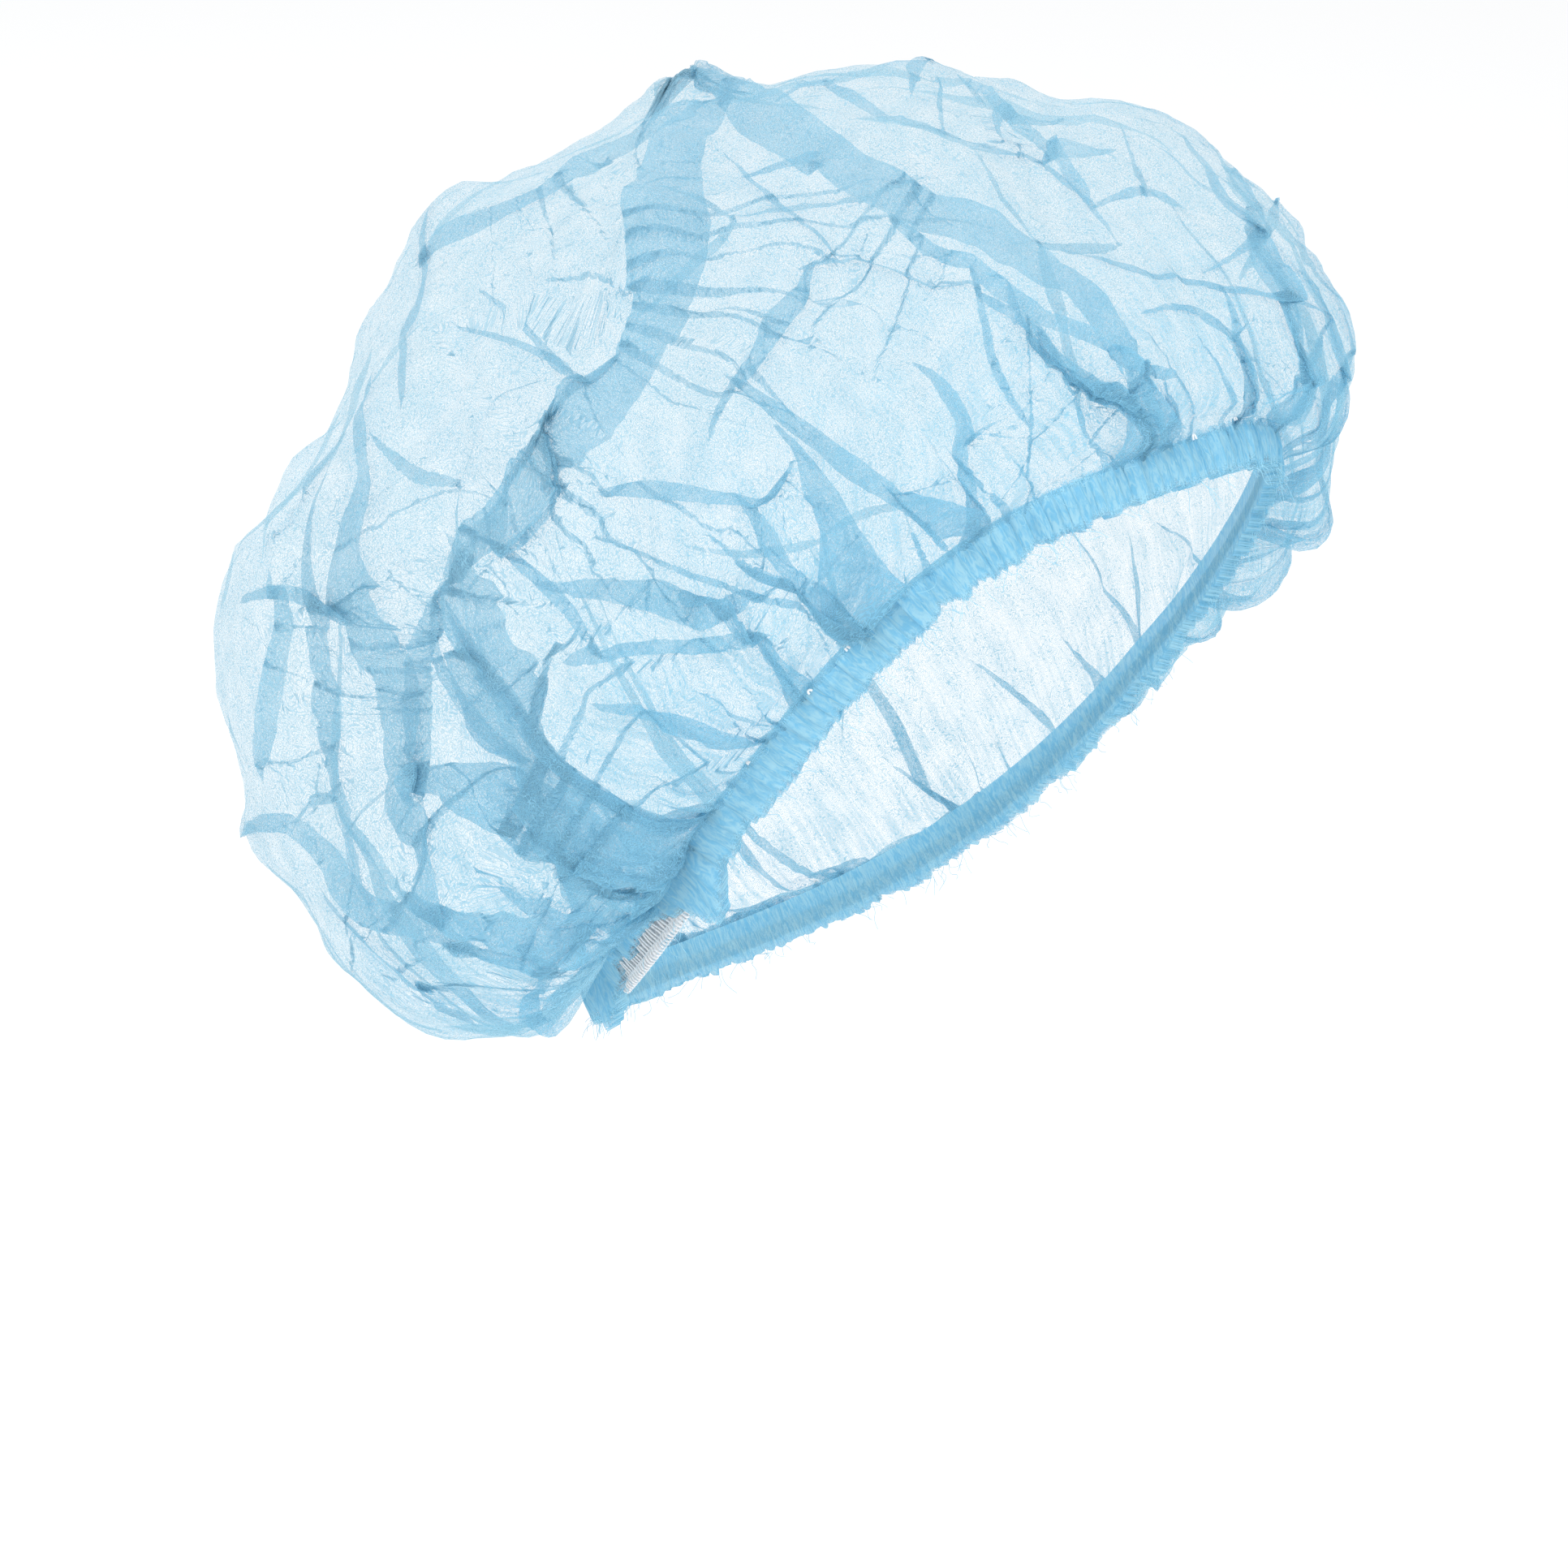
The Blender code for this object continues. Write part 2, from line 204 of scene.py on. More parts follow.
class PuffedForm:
    """The smooth form of the puffed bag, read from the frame's crown by looking at it from outside.

    Positions are kept on a grid of turns round the opening and shares of the way from the crown's middle
    to the hem, each share an equal length along the cloth.
    """

    turn_count: int = 360
    share_count: int = 161
    middle_forward: float = 0.012
    middle_rise: float = 0.0415
    far: float = 0.4
    safe_angle: int = 60
    open_angle: int = 175
    fine_angle: int = 12
    halvings: int = 10
    casts: int = 180
    sheet_radius: float = 0.253
    middle_run: float = 0.215
    hem_reach: float = 0.045
    outline_reaches: tuple[float, ...] = (0.013, 0.009, 0.006, 0.0045)
    outline_floor: float = 0.25
    outline_most: float = 0.012
    crest_room: float = 0.0020
    rim_facing: float = 0.35
    tuck_rows: int = 4
    tuck_out: float = 0.0024
    tuck_rise: float = 0.0050

    def __init__(self, crown: bpy.types.Object) -> None:
        """Read the form.

        Args:
            crown: The frame's crown node.
        """
        self.axes = OpeningAxes().matrix()
        self.middle = self.middle_forward * self.axes[0] + self.middle_rise * self.axes[2]
        corners = [vert.co.copy() for vert in crown.data.vertices]
        faces = [tuple(polygon.vertices) for polygon in crown.data.polygons]
        self.tree = BVHTree.FromPolygons(corners, faces)
        turns = np.arange(self.turn_count) * 2 * math.pi / self.turn_count
        self.places = self._smoothed(np.array([self._profile(turn) for turn in turns]))
        self._measure()

    def _hit(self, turn: float, angle: float) -> Array | None:
        """The outer face in one direction from the bag's middle.

        Args:
            turn: The direction's turn round the opening, in radians.
            angle: Its angle away from straight up out of the opening, in radians.

        Returns:
            The point there, or None below the form's edge.
        """
        level = math.sin(angle)
        outward = np.array((math.cos(turn) * level, math.sin(turn) * level, math.cos(angle))) @ self.axes
        found = self.tree.ray_cast(Vector(self.middle + outward * self.far), Vector(-outward), self.far)
        return None if found[0] is None else np.array(found[0])

    def _profile(self, turn: float) -> Array:
        """One line of the form from the crown's middle to the hem.

        Args:
            turn: The line's turn round the opening, in radians.

        Returns:
            Points at steps that are alike in all lines near the middle.
        """
        low, high = math.radians(self.safe_angle), math.radians(self.open_angle)
        for angle in np.radians(np.arange(self.safe_angle + 2, self.open_angle, 1.0)):
            if self._hit(turn, angle) is None:
                high = angle
                break
            low = angle
        for _ in range(self.halvings):
            trial = (low + high) / 2
            low, high = (low, trial) if self._hit(turn, trial) is None else (trial, high)
        fine = low - math.radians(self.fine_angle)
        count = self.casts // 2
        angles = np.concatenate([np.linspace(0, fine, count, endpoint=False), np.linspace(fine, low, count)])
        points = np.array([p for p in (self._hit(turn, angle) for angle in angles) if p is not None])
        steps = np.linalg.norm(np.diff(points, axis=0), axis=1)
        along = np.concatenate([[0], np.cumsum(steps)])
        share = np.linspace(0, 1, self.share_count)
        steps = self.middle_run * share + (along[-1] - self.middle_run) * share**2
        return np.stack([np.interp(steps, along, points[:, axis]) for axis in range(3)], axis=1)

    def _smoothed(self, places: Array) -> Array:
        """The grid without the frame's facets, smoother near the hem where fine pleats take over.

        Args:
            places: Points by turn and share.

        Returns:
            The smooth points, with one common point in the middle.
        """
        waves = np.fft.rfft(places, axis=0)
        number = np.arange(waves.shape[0])[:, None]
        share = np.linspace(0, 1, self.share_count)[None, :]
        blur = np.radians(1.8 + 3.2 * smooth_step(0.55, 0.95, share))
        waves = waves * np.exp(-((number * blur) ** 2) / 2)[..., None]
        places = np.fft.irfft(waves, n=self.turn_count, axis=0)
        kernel = np.exp(-(np.arange(-4, 5) / 2.0) ** 2)
        kernel /= kernel.sum()
        padded = np.pad(places, ((0, 0), (4, 4), (0, 0)), mode="reflect", reflect_type="odd")
        soft = sum(weight * padded[:, step:step + self.share_count] for step, weight in enumerate(kernel))
        soft[:, 0] = places[:, 0].mean(axis=0)
        return soft

    def _measure(self) -> None:
        """Normals, and how the sheet's flat steps run on the form.

        A step out from the middle is stretch[0] long. A step round it runs stretch[1] outwards and
        stretch[2] round.
        """
        share_step = 1 / (self.share_count - 1)
        down = np.gradient(self.places, share_step, axis=1)
        angle_step = 2 * math.pi / self.turn_count
        around = (np.roll(self.places, -1, axis=0) - np.roll(self.places, 1, axis=0)) / (2 * angle_step)
        normals = np.cross(down, around)
        normals[:, 0] = self.axes[2]
        self.normals = unit(normals)
        flat = np.maximum(np.linspace(0, 1, self.share_count), share_step) * self.sheet_radius
        out, beside = down / self.sheet_radius, around / flat[None, :, None]
        long = np.linalg.norm(out, axis=-1)
        lean = (out * beside).sum(axis=-1) / long
        wide = np.sqrt(np.maximum((beside**2).sum(axis=-1) - lean**2, 0.04))
        self.stretch = np.stack([long, lean, wide], axis=-1)
        self.stretch[:, :3] = self.stretch[:, 3:4]

    def fit_outline(self, view: PhotoView) -> None:
        """Swell or draw in the form until its outline in the photograph's view has the photograph's lobes.

        Args:
            view: The photograph's camera.
        """
        right, up, _ = view.axes()
        start = view.place()
        goal = np.array([view.on_plane(px, py) for px, py in OUTLINE]) - start
        goal = np.stack([goal @ right, goal @ up], axis=1)
        keep = 1 - smooth_step(0.93, 1.0, np.linspace(0, 1, self.share_count))
        for reach in self.outline_reaches:
            places, normals = self.places.reshape(-1, 3), self.normals.reshape(-1, 3)
            sight = places - start
            depth = -(sight @ view.axes()[2]) / view.distance
            seen = np.stack([sight @ right / depth, sight @ up / depth], axis=1)
            facing = np.abs((normals * unit(sight)).sum(axis=1))
            rim = np.flatnonzero(facing < self.rim_facing)
            shift = np.zeros(len(places))
            weight = np.full(len(places), self.outline_floor)
            for target in goal:
                off = target - seen[rim]
                best = rim[np.argmin(np.linalg.norm(off, axis=1) + 0.02 * facing[rim])]
                outward = unit(np.array((normals[best] @ right, normals[best] @ up)))
                gap = (target - seen[best]) @ outward - self.crest_room * max(0.0, outward[1])
                move = float(np.clip(gap, -self.outline_most, self.outline_most))
                near = np.exp(-((places - places[best]) ** 2).sum(axis=1) / (2 * reach**2))
                shift += near * move
                weight += near
            push = (shift / weight).reshape(self.turn_count, self.share_count) * keep
            self.places = self.places + self.normals * push[..., None]
            self._measure()

    def tuck_under(self, line: OpeningLine) -> None:
        """Carry the sheet on below its gathered edge, in behind the hem.

        Args:
            line: The line of the cap's lower edge.
        """
        turns = np.arange(0, 360, 0.25)
        shift = (line.at(turns, self.tuck_out, self.tuck_rise) - self.middle) @ self.axes.T
        angle = np.mod(np.arctan2(shift[:, 1], shift[:, 0]), 2 * math.pi)
        order = np.argsort(angle)
        columns = np.arange(self.turn_count) * 2 * math.pi / self.turn_count
        goal = np.stack([np.interp(columns, angle[order], shift[order, axis], period=2 * math.pi)
                         for axis in range(3)], axis=1) @ self.axes + self.middle
        last = self.places[:, -1]
        steps = (np.arange(1, self.tuck_rows + 1) / self.tuck_rows)[None, :, None]
        added = last[:, None] * (1 - steps) + goal[:, None] * steps
        self.places = np.concatenate([self.places, added], axis=1)
        self.share_count += self.tuck_rows
        self.sheet_radius *= (self.share_count - 1) / (self.share_count - 1 - self.tuck_rows)
        self._measure()

    def read(self, grid: Array, chart: Array) -> Array:
        """Values of a grid at places of the chart.

        Args:
            grid: Values by turn and share, of any number of columns.
            chart: Flat places on the sheet, in metres.

        Returns:
            One row of values for each place.
        """
        turn = np.mod(np.arctan2(chart[:, 1], chart[:, 0]) / (2 * math.pi), 1.0) * self.turn_count
        share = np.linalg.norm(chart, axis=1) / self.sheet_radius
        share = np.clip(share, 0, 1) * (self.share_count - 1)
        left, low = np.floor(turn).astype(int), np.minimum(np.floor(share).astype(int), self.share_count - 2)
        aside, along = turn - left, share - low
        if grid.ndim == 3:
            aside, along = aside[:, None], along[:, None]
        left, right = left % self.turn_count, (left + 1) % self.turn_count
        near = grid[left, low] * (1 - aside) + grid[right, low] * aside
        beyond = grid[left, low + 1] * (1 - aside) + grid[right, low + 1] * aside
        return near * (1 - along) + beyond * along

    def chart_at(self, point: Array) -> Array:
        """The flat place of a point on the form.

        Args:
            point: A point on or near the form.

        Returns:
            Its place on the flat sheet.
        """
        offset = self.axes @ (point - self.middle)
        turn = math.atan2(offset[1], offset[0])
        column = int(round(turn / (2 * math.pi) * self.turn_count)) % self.turn_count
        line = (self.places[column] - self.middle) @ self.axes.T
        angles = np.arctan2(np.hypot(line[:, 0], line[:, 1]), line[:, 2])
        angle = math.atan2(math.hypot(offset[0], offset[1]), offset[2])
        share = float(np.interp(angle, np.maximum.accumulate(angles), np.linspace(0, 1, self.share_count)))
        return share * self.sheet_radius * np.array((math.cos(turn), math.sin(turn)))

    def seen_at(self, view: PhotoView, px: float, py: float) -> Array | None:
        """The flat place that the photograph shows at a pixel, on the near side's outer face.

        Args:
            view: The photograph's camera.
            px: The pixel across.
            py: The pixel down.

        Returns:
            The flat place, or None where the pixel shows no outer face.
        """
        start = view.place()
        sight = unit(view.on_plane(px, py) - start)
        found = self.tree.ray_cast(Vector(start), Vector(sight), 3.0)
        if found[0] is None or found[1].dot(found[0] - Vector(self.middle)) < 0:
            return None
        return self.chart_at(np.array(found[0]))

    def to_the_hem(self, path: Array) -> Array:
        """A path carried on, along its own heading, to the hem.

        Args:
            path: Flat places of a fold's line.

        Returns:
            The path, with one more place where the hem is within reach.
        """
        heading = unit(path[-1] - path[-2])
        ahead = np.linspace(0, self.hem_reach, 60)[:, None] * heading + path[-1]
        past = np.flatnonzero(np.linalg.norm(ahead, axis=1) >= self.sheet_radius)
        if not len(past):
            return path
        return np.concatenate([path, ahead[past[0]][None]])


class FoldRow(NamedTuple):
    """A fold of doubled cloth that the photograph shows.

    Its name, the side that it lies over to, its height in mm, and its path: a pixel across, a pixel down and
    the fold's width there in mm, for each place.
    """

    name: str
    lean: Lean
    loft: float
    path: tuple[Triple, ...]


# Pixels of the bag's outline in the photograph, from the brow over the top and round the back
OUTLINE = (
    (1579, 673), (1630, 668), (1636, 600), (1650, 540), (1663, 453), (1652, 387), (1614, 326),
    (1584, 262), (1545, 237), (1505, 178), (1471, 157), (1436, 140), (1400, 127), (1324, 120),
    (1283, 130), (1221, 112), (1180, 82), (1104, 82), (1068, 80), (1017, 82), (966, 96), (928, 106),
    (900, 91), (870, 73), (846, 59), (834, 80), (795, 102), (762, 126), (743, 142), (700, 166),
    (661, 193), (604, 214), (547, 243), (523, 269), (503, 312), (484, 348), (460, 360), (444, 389),
    (439, 446), (430, 495), (379, 575), (341, 599), (307, 628), (281, 700), (270, 727), (272, 810),
    (279, 868), (295, 925), (312, 973), (303, 1050), (331, 1071), (379, 1107), (398, 1145), (417, 1179),
    (441, 1205), (460, 1241), (508, 1277), (537, 1283), (585, 1277), (628, 1267), (683, 1252),
)

# Folds that the photograph shows, from the crown's peak round to the nape
SEEN_FOLDS = (
    FoldRow("front band", Lean.LEFT, 3.2, (
        (846, 66, 4), (828, 140, 6), (812, 206, 10), (811, 300, 14), (806, 360, 11), (792, 430, 9),
        (768, 470, 12), (725, 520, 13), (700, 575, 10), (662, 640, 7), (630, 682, 3))),
    FoldRow("edge of the front band", Lean.RIGHT, 2, (
        (760, 440, 1), (722, 472, 3), (690, 510, 3), (690, 600, 3), (636, 676, 4))),
    FoldRow("top band", Lean.RIGHT, 3.4, (
        (862, 74, 5), (900, 112, 8), (960, 160, 10), (1040, 210, 10), (1120, 245, 9), (1200, 275, 8),
        (1290, 320, 6.5), (1350, 362, 4.5), (1400, 406, 2))),
    FoldRow("left shoulder band", Lean.LEFT, 2.2, (
        (836, 112, 4), (790, 150, 5), (745, 185, 5), (690, 226, 6), (620, 264, 6), (560, 296, 5),
        (515, 330, 3))),
    FoldRow("left rim fold", Lean.RIGHT, 1.8, (
        (552, 236, 2), (543, 280, 4), (522, 340, 4), (505, 400, 5), (490, 470, 4))),
    FoldRow("upper left cord", Lean.LEFT, 1.4, (
        (590, 356, 1), (630, 386, 1.6), (664, 420, 1.6), (708, 462, 1.8), (724, 470, 1))),
    FoldRow("lower left cord", Lean.LEFT, 1.3, (
        (552, 401, 1), (600, 416, 1.4), (650, 440, 1.6), (696, 467, 2))),
    FoldRow("cord to the front band", Lean.RIGHT, 1, ((680, 348, 0.8), (730, 341, 1.2), (768, 355, 1.2))),
    FoldRow("small cord below it", Lean.RIGHT, 0.9, ((690, 390, 0.6), (724, 368, 1), (765, 361, 1))),
    FoldRow("crown crease", Lean.LEFT, 1.6, (
        (893, 200, 0.8), (926, 234, 2), (970, 274, 2), (1010, 308, 1.6), (1030, 328, 0.6))),
    FoldRow("crown spur", Lean.RIGHT, 1.2, ((928, 232, 0.6), (960, 222, 1.6), (1000, 210, 2.4))),
    FoldRow("star arm, top", Lean.LEFT, 1.8, (
        (985, 340, 1), (1020, 330, 2.2), (1053, 326, 2.4), (1097, 340, 2.2), (1134, 354, 1.8),
        (1178, 360, 0.8))),
    FoldRow("star arm, left", Lean.RIGHT, 2, (
        (1000, 342, 1.4), (984, 370, 5), (960, 402, 6), (928, 446, 4.4), (906, 470, 3), (888, 500, 2.6),
        (880, 534, 1))),
    FoldRow("long temple fold", Lean.RIGHT, 2.2, (
        (908, 470, 1.6), (972, 515, 3.4), (1029, 556, 4.2), (1097, 603, 4.6), (1147, 637, 5),
        (1200, 672, 5.6))),
    FoldRow("curved temple fold", Lean.RIGHT, 1.8, (
        (1126, 446, 0.8), (1158, 478, 2.4), (1178, 518, 2.8), (1184, 550, 3.2), (1181, 593, 3.2),
        (1197, 628, 3.4), (1218, 660, 4))),
    FoldRow("temple spur", Lean.LEFT, 0.9, ((1190, 546, 1.2), (1212, 527, 1), (1236, 512, 0.4))),
    FoldRow("widening temple fold", Lean.RIGHT, 2, (
        (950, 544, 1), (978, 576, 2.2), (1010, 618, 3.8), (1048, 672, 6), (1098, 722, 6.5))),
    FoldRow("level fold", Lean.LEFT, 1.9, (
        (748, 606, 1.6), (803, 602, 3.6), (854, 608, 3.2), (900, 614, 2.4), (938, 611, 2.2),
        (964, 596, 2.6), (976, 574, 1.4))),
    FoldRow("level fold's tail", Lean.RIGHT, 1.1, ((970, 586, 1.2), (955, 608, 2), (928, 626, 0.8))),
    FoldRow("fan, upper", Lean.LEFT, 1.5, (
        (898, 622, 1), (948, 652, 2.4), (1010, 690, 3.4), (1092, 738, 4))),
    FoldRow("fan, middle", Lean.RIGHT, 1.6, (
        (914, 677, 1), (965, 696, 2.4), (1023, 726, 2.8), (1084, 752, 3.2))),
    FoldRow("fan, lower", Lean.RIGHT, 1.3, (
        (877, 659, 0.8), (925, 694, 2), (985, 718, 2.2), (1040, 760, 2.6), (1068, 780, 3))),
    FoldRow("ear fold, top", Lean.RIGHT, 1.2, (
        (733, 662, 0.8), (789, 682, 1.4), (854, 709, 1.6), (921, 734, 1.8), (989, 755, 2),
        (1058, 786, 2.6))),
    FoldRow("ear band", Lean.LEFT, 1.8, (
        (690, 716, 1.4), (735, 715, 3), (789, 725, 4.2), (843, 740, 4.4), (890, 750, 2.6),
        (938, 750, 0.8))),
    FoldRow("ear fold, lower", Lean.RIGHT, 2, (
        (850, 748, 1.6), (904, 774, 3.4), (930, 796, 3.8), (960, 822, 5.5), (1008, 846, 7))),
    FoldRow("pocket edge", Lean.LEFT, 1.8, (
        (700, 818, 2.4), (752, 802, 2.8), (820, 792, 2.6), (887, 789, 2.6), (928, 792, 2.2))),
    FoldRow("pocket fold", Lean.LEFT, 1.4, (
        (742, 868, 0.8), (812, 890, 3), (880, 915, 4), (935, 926, 5), (966, 930, 5.5))),
    FoldRow("pocket streak", Lean.RIGHT, 1, (
        (862, 850, 0.6), (905, 872, 1.2), (950, 892, 1.6), (988, 902, 2))),
    FoldRow("star ray", Lean.LEFT, 1.6, ((632, 680, 2), (668, 713, 2.8), (703, 752, 2.8), (733, 794, 2))),
    FoldRow("side panel", Lean.LEFT, 4, (
        (578, 664, 3), (596, 716, 8), (632, 782, 12), (680, 852, 13), (734, 920, 13), (800, 984, 11),
        (866, 1042, 8.5), (894, 1060, 7))),
    FoldRow("side panel's streak", Lean.LEFT, 1.6, (
        (560, 742, 1), (596, 806, 2.4), (640, 872, 2.8), (692, 934, 2.8), (766, 994, 2.8),
        (840, 1050, 2.6))),
    FoldRow("side panel's back edge", Lean.RIGHT, 1.8, (
        (548, 716, 1.5), (540, 780, 3.5), (556, 850, 4.5), (596, 908, 4), (640, 940, 1.5))),
    FoldRow("star arm, up", Lean.RIGHT, 1.8, (
        (562, 708, 3), (585, 670, 4.5), (610, 620, 4), (650, 565, 3.2), (690, 520, 2))),
    FoldRow("star arm, second", Lean.LEFT, 1.4, (
        (600, 646, 0.8), (622, 616, 2), (650, 580, 2.4), (676, 548, 2), (694, 512, 1))),
    FoldRow("star arm, back", Lean.LEFT, 2.2, (
        (556, 712, 2), (524, 756, 4), (510, 830, 5), (512, 900, 5), (520, 960, 4))),
    FoldRow("nape panel", Lean.LEFT, 3, (
        (524, 950, 4), (582, 980, 9), (640, 1004, 11), (700, 1042, 10), (756, 1082, 9), (822, 1120, 7))),
    FoldRow("nape streak", Lean.RIGHT, 1.4, (
        (650, 1028, 1), (700, 1060, 2.4), (760, 1100, 3.4), (816, 1138, 3.6))),
    FoldRow("nape fold, middle", Lean.RIGHT, 1.8, (
        (600, 1060, 2), (640, 1080, 4), (700, 1113, 4.6), (755, 1146, 4.4), (790, 1168, 4))),
    FoldRow("nape fold, lower", Lean.LEFT, 2, (
        (520, 1104, 3), (582, 1128, 4.6), (640, 1150, 5), (700, 1176, 5), (765, 1206, 4.4))),
    FoldRow("lowest nape fold", Lean.LEFT, 1.8, (
        (560, 1176, 3), (620, 1196, 4.4), (690, 1222, 4.4), (752, 1236, 3.4))),
    FoldRow("brow ridge", Lean.RIGHT, 2, (
        (1104, 276, 1.2), (1136, 300, 2.4), (1166, 324, 2.8), (1200, 338, 3), (1250, 374, 3.2),
        (1290, 394, 3.2), (1334, 411, 3), (1392, 448, 3), (1450, 458, 2))),
    FoldRow("brow streaks", Lean.RIGHT, 1, (
        (1196, 345, 1), (1212, 400, 1.6), (1232, 464, 1.8), (1264, 520, 1.2))),
    FoldRow("brow cord", Lean.LEFT, 1, (
        (1262, 400, 0.8), (1271, 471, 1.2), (1276, 530, 1.2), (1290, 606, 1.6))),
    FoldRow("brow fold", Lean.LEFT, 2, (
        (1292, 412, 1.4), (1316, 458, 2.4), (1334, 500, 3.2), (1348, 545, 4.2), (1352, 596, 5))),
    FoldRow("forehead fold", Lean.RIGHT, 1.6, (
        (1368, 440, 1.6), (1376, 480, 2.6), (1384, 530, 3.4), (1396, 580, 4))),
    FoldRow("second forehead fold", Lean.RIGHT, 1.4, (
        (1412, 450, 1.2), (1416, 490, 2.4), (1428, 530, 2.8), (1440, 566, 3.4))),
    FoldRow("third forehead fold", Lean.LEFT, 1.4, (
        (1446, 470, 1.2), (1452, 510, 2.2), (1468, 540, 2.8), (1484, 560, 3))),
    FoldRow("left lobe edge", Lean.RIGHT, 5, (
        (448, 486, 4), (446, 560, 9), (448, 640, 12), (454, 720, 12), (474, 800, 10), (492, 880, 9),
        (504, 950, 8), (520, 1020, 7), (560, 1090, 5))),
    FoldRow("left lobe fold", Lean.RIGHT, 2.4, (
        (392, 590, 1), (386, 660, 5), (404, 740, 6), (418, 840, 6), (426, 940, 6), (462, 1040, 4))),
    FoldRow("back lobe fold", Lean.LEFT, 2, (
        (330, 700, 1.6), (346, 780, 4), (338, 860, 5), (322, 930, 4), (314, 1000, 3))),
    FoldRow("back lobe cross fold", Lean.RIGHT, 1.6, (
        (278, 738, 2), (330, 728, 3), (386, 738, 4), (430, 760, 3))),
    FoldRow("low lobe fold", Lean.LEFT, 2.2, (
        (330, 1010, 3), (396, 1040, 5), (440, 1090, 6), (500, 1130, 6), (560, 1180, 4))),
    FoldRow("low lobe second fold", Lean.RIGHT, 1.8, (
        (400, 1120, 3), (450, 1160, 5), (500, 1210, 5), (560, 1240, 4))),
    FoldRow("far lobe ridge", Lean.RIGHT, 2, (
        (1180, 92, 0.8), (1208, 108, 1.8), (1240, 142, 2.2), (1290, 190, 1.6), (1312, 218, 2.2),
        (1338, 252, 1.8), (1344, 262, 0.8))),
    FoldRow("far lobe crest", Lean.LEFT, 2, (
        (1318, 128, 0.8), (1282, 138, 1.8), (1226, 166, 2.2), (1240, 186, 1.8), (1280, 192, 0.8))),
    FoldRow("far lobe spine", Lean.LEFT, 1.6, (
        (1384, 142, 0.6), (1388, 184, 1.6), (1396, 214, 2.2), (1406, 254, 1.2))),
    FoldRow("far lobe cross", Lean.RIGHT, 1.4, (
        (1346, 262, 0.8), (1376, 250, 1.8), (1416, 244, 1.8), (1452, 252, 0.8))),
    FoldRow("far lobe edge", Lean.RIGHT, 2.4, (
        (1494, 176, 1), (1522, 212, 2.4), (1546, 266, 2.8), (1540, 290, 2), (1484, 324, 0.8))),
    FoldRow("far lobe long fold", Lean.LEFT, 1.8, (
        (1330, 306, 1.2), (1370, 324, 2.4), (1420, 340, 2.4), (1480, 348, 2.2), (1552, 358, 2.6),
        (1610, 376, 2.4), (1646, 392, 1.2))),
    FoldRow("far lobe corner", Lean.RIGHT, 1.6, (
        (1644, 396, 0.8), (1622, 432, 1.8), (1580, 478, 2.2), (1524, 520, 1.2))),
    FoldRow("far lobe low fold", Lean.LEFT, 1.6, (
        (1420, 384, 1), (1470, 400, 2.4), (1516, 440, 3), (1528, 480, 3), (1516, 530, 3.4))),
    FoldRow("far lobe arch", Lean.RIGHT, 1.4, (
        (960, 112, 0.8), (1004, 106, 2), (1060, 120, 2), (1110, 146, 1.6), (1160, 170, 0.8))),
    FoldRow("far lobe spike", Lean.LEFT, 1.2, ((1148, 92, 0.6), (1158, 130, 1.6), (1164, 168, 0.8))),
)


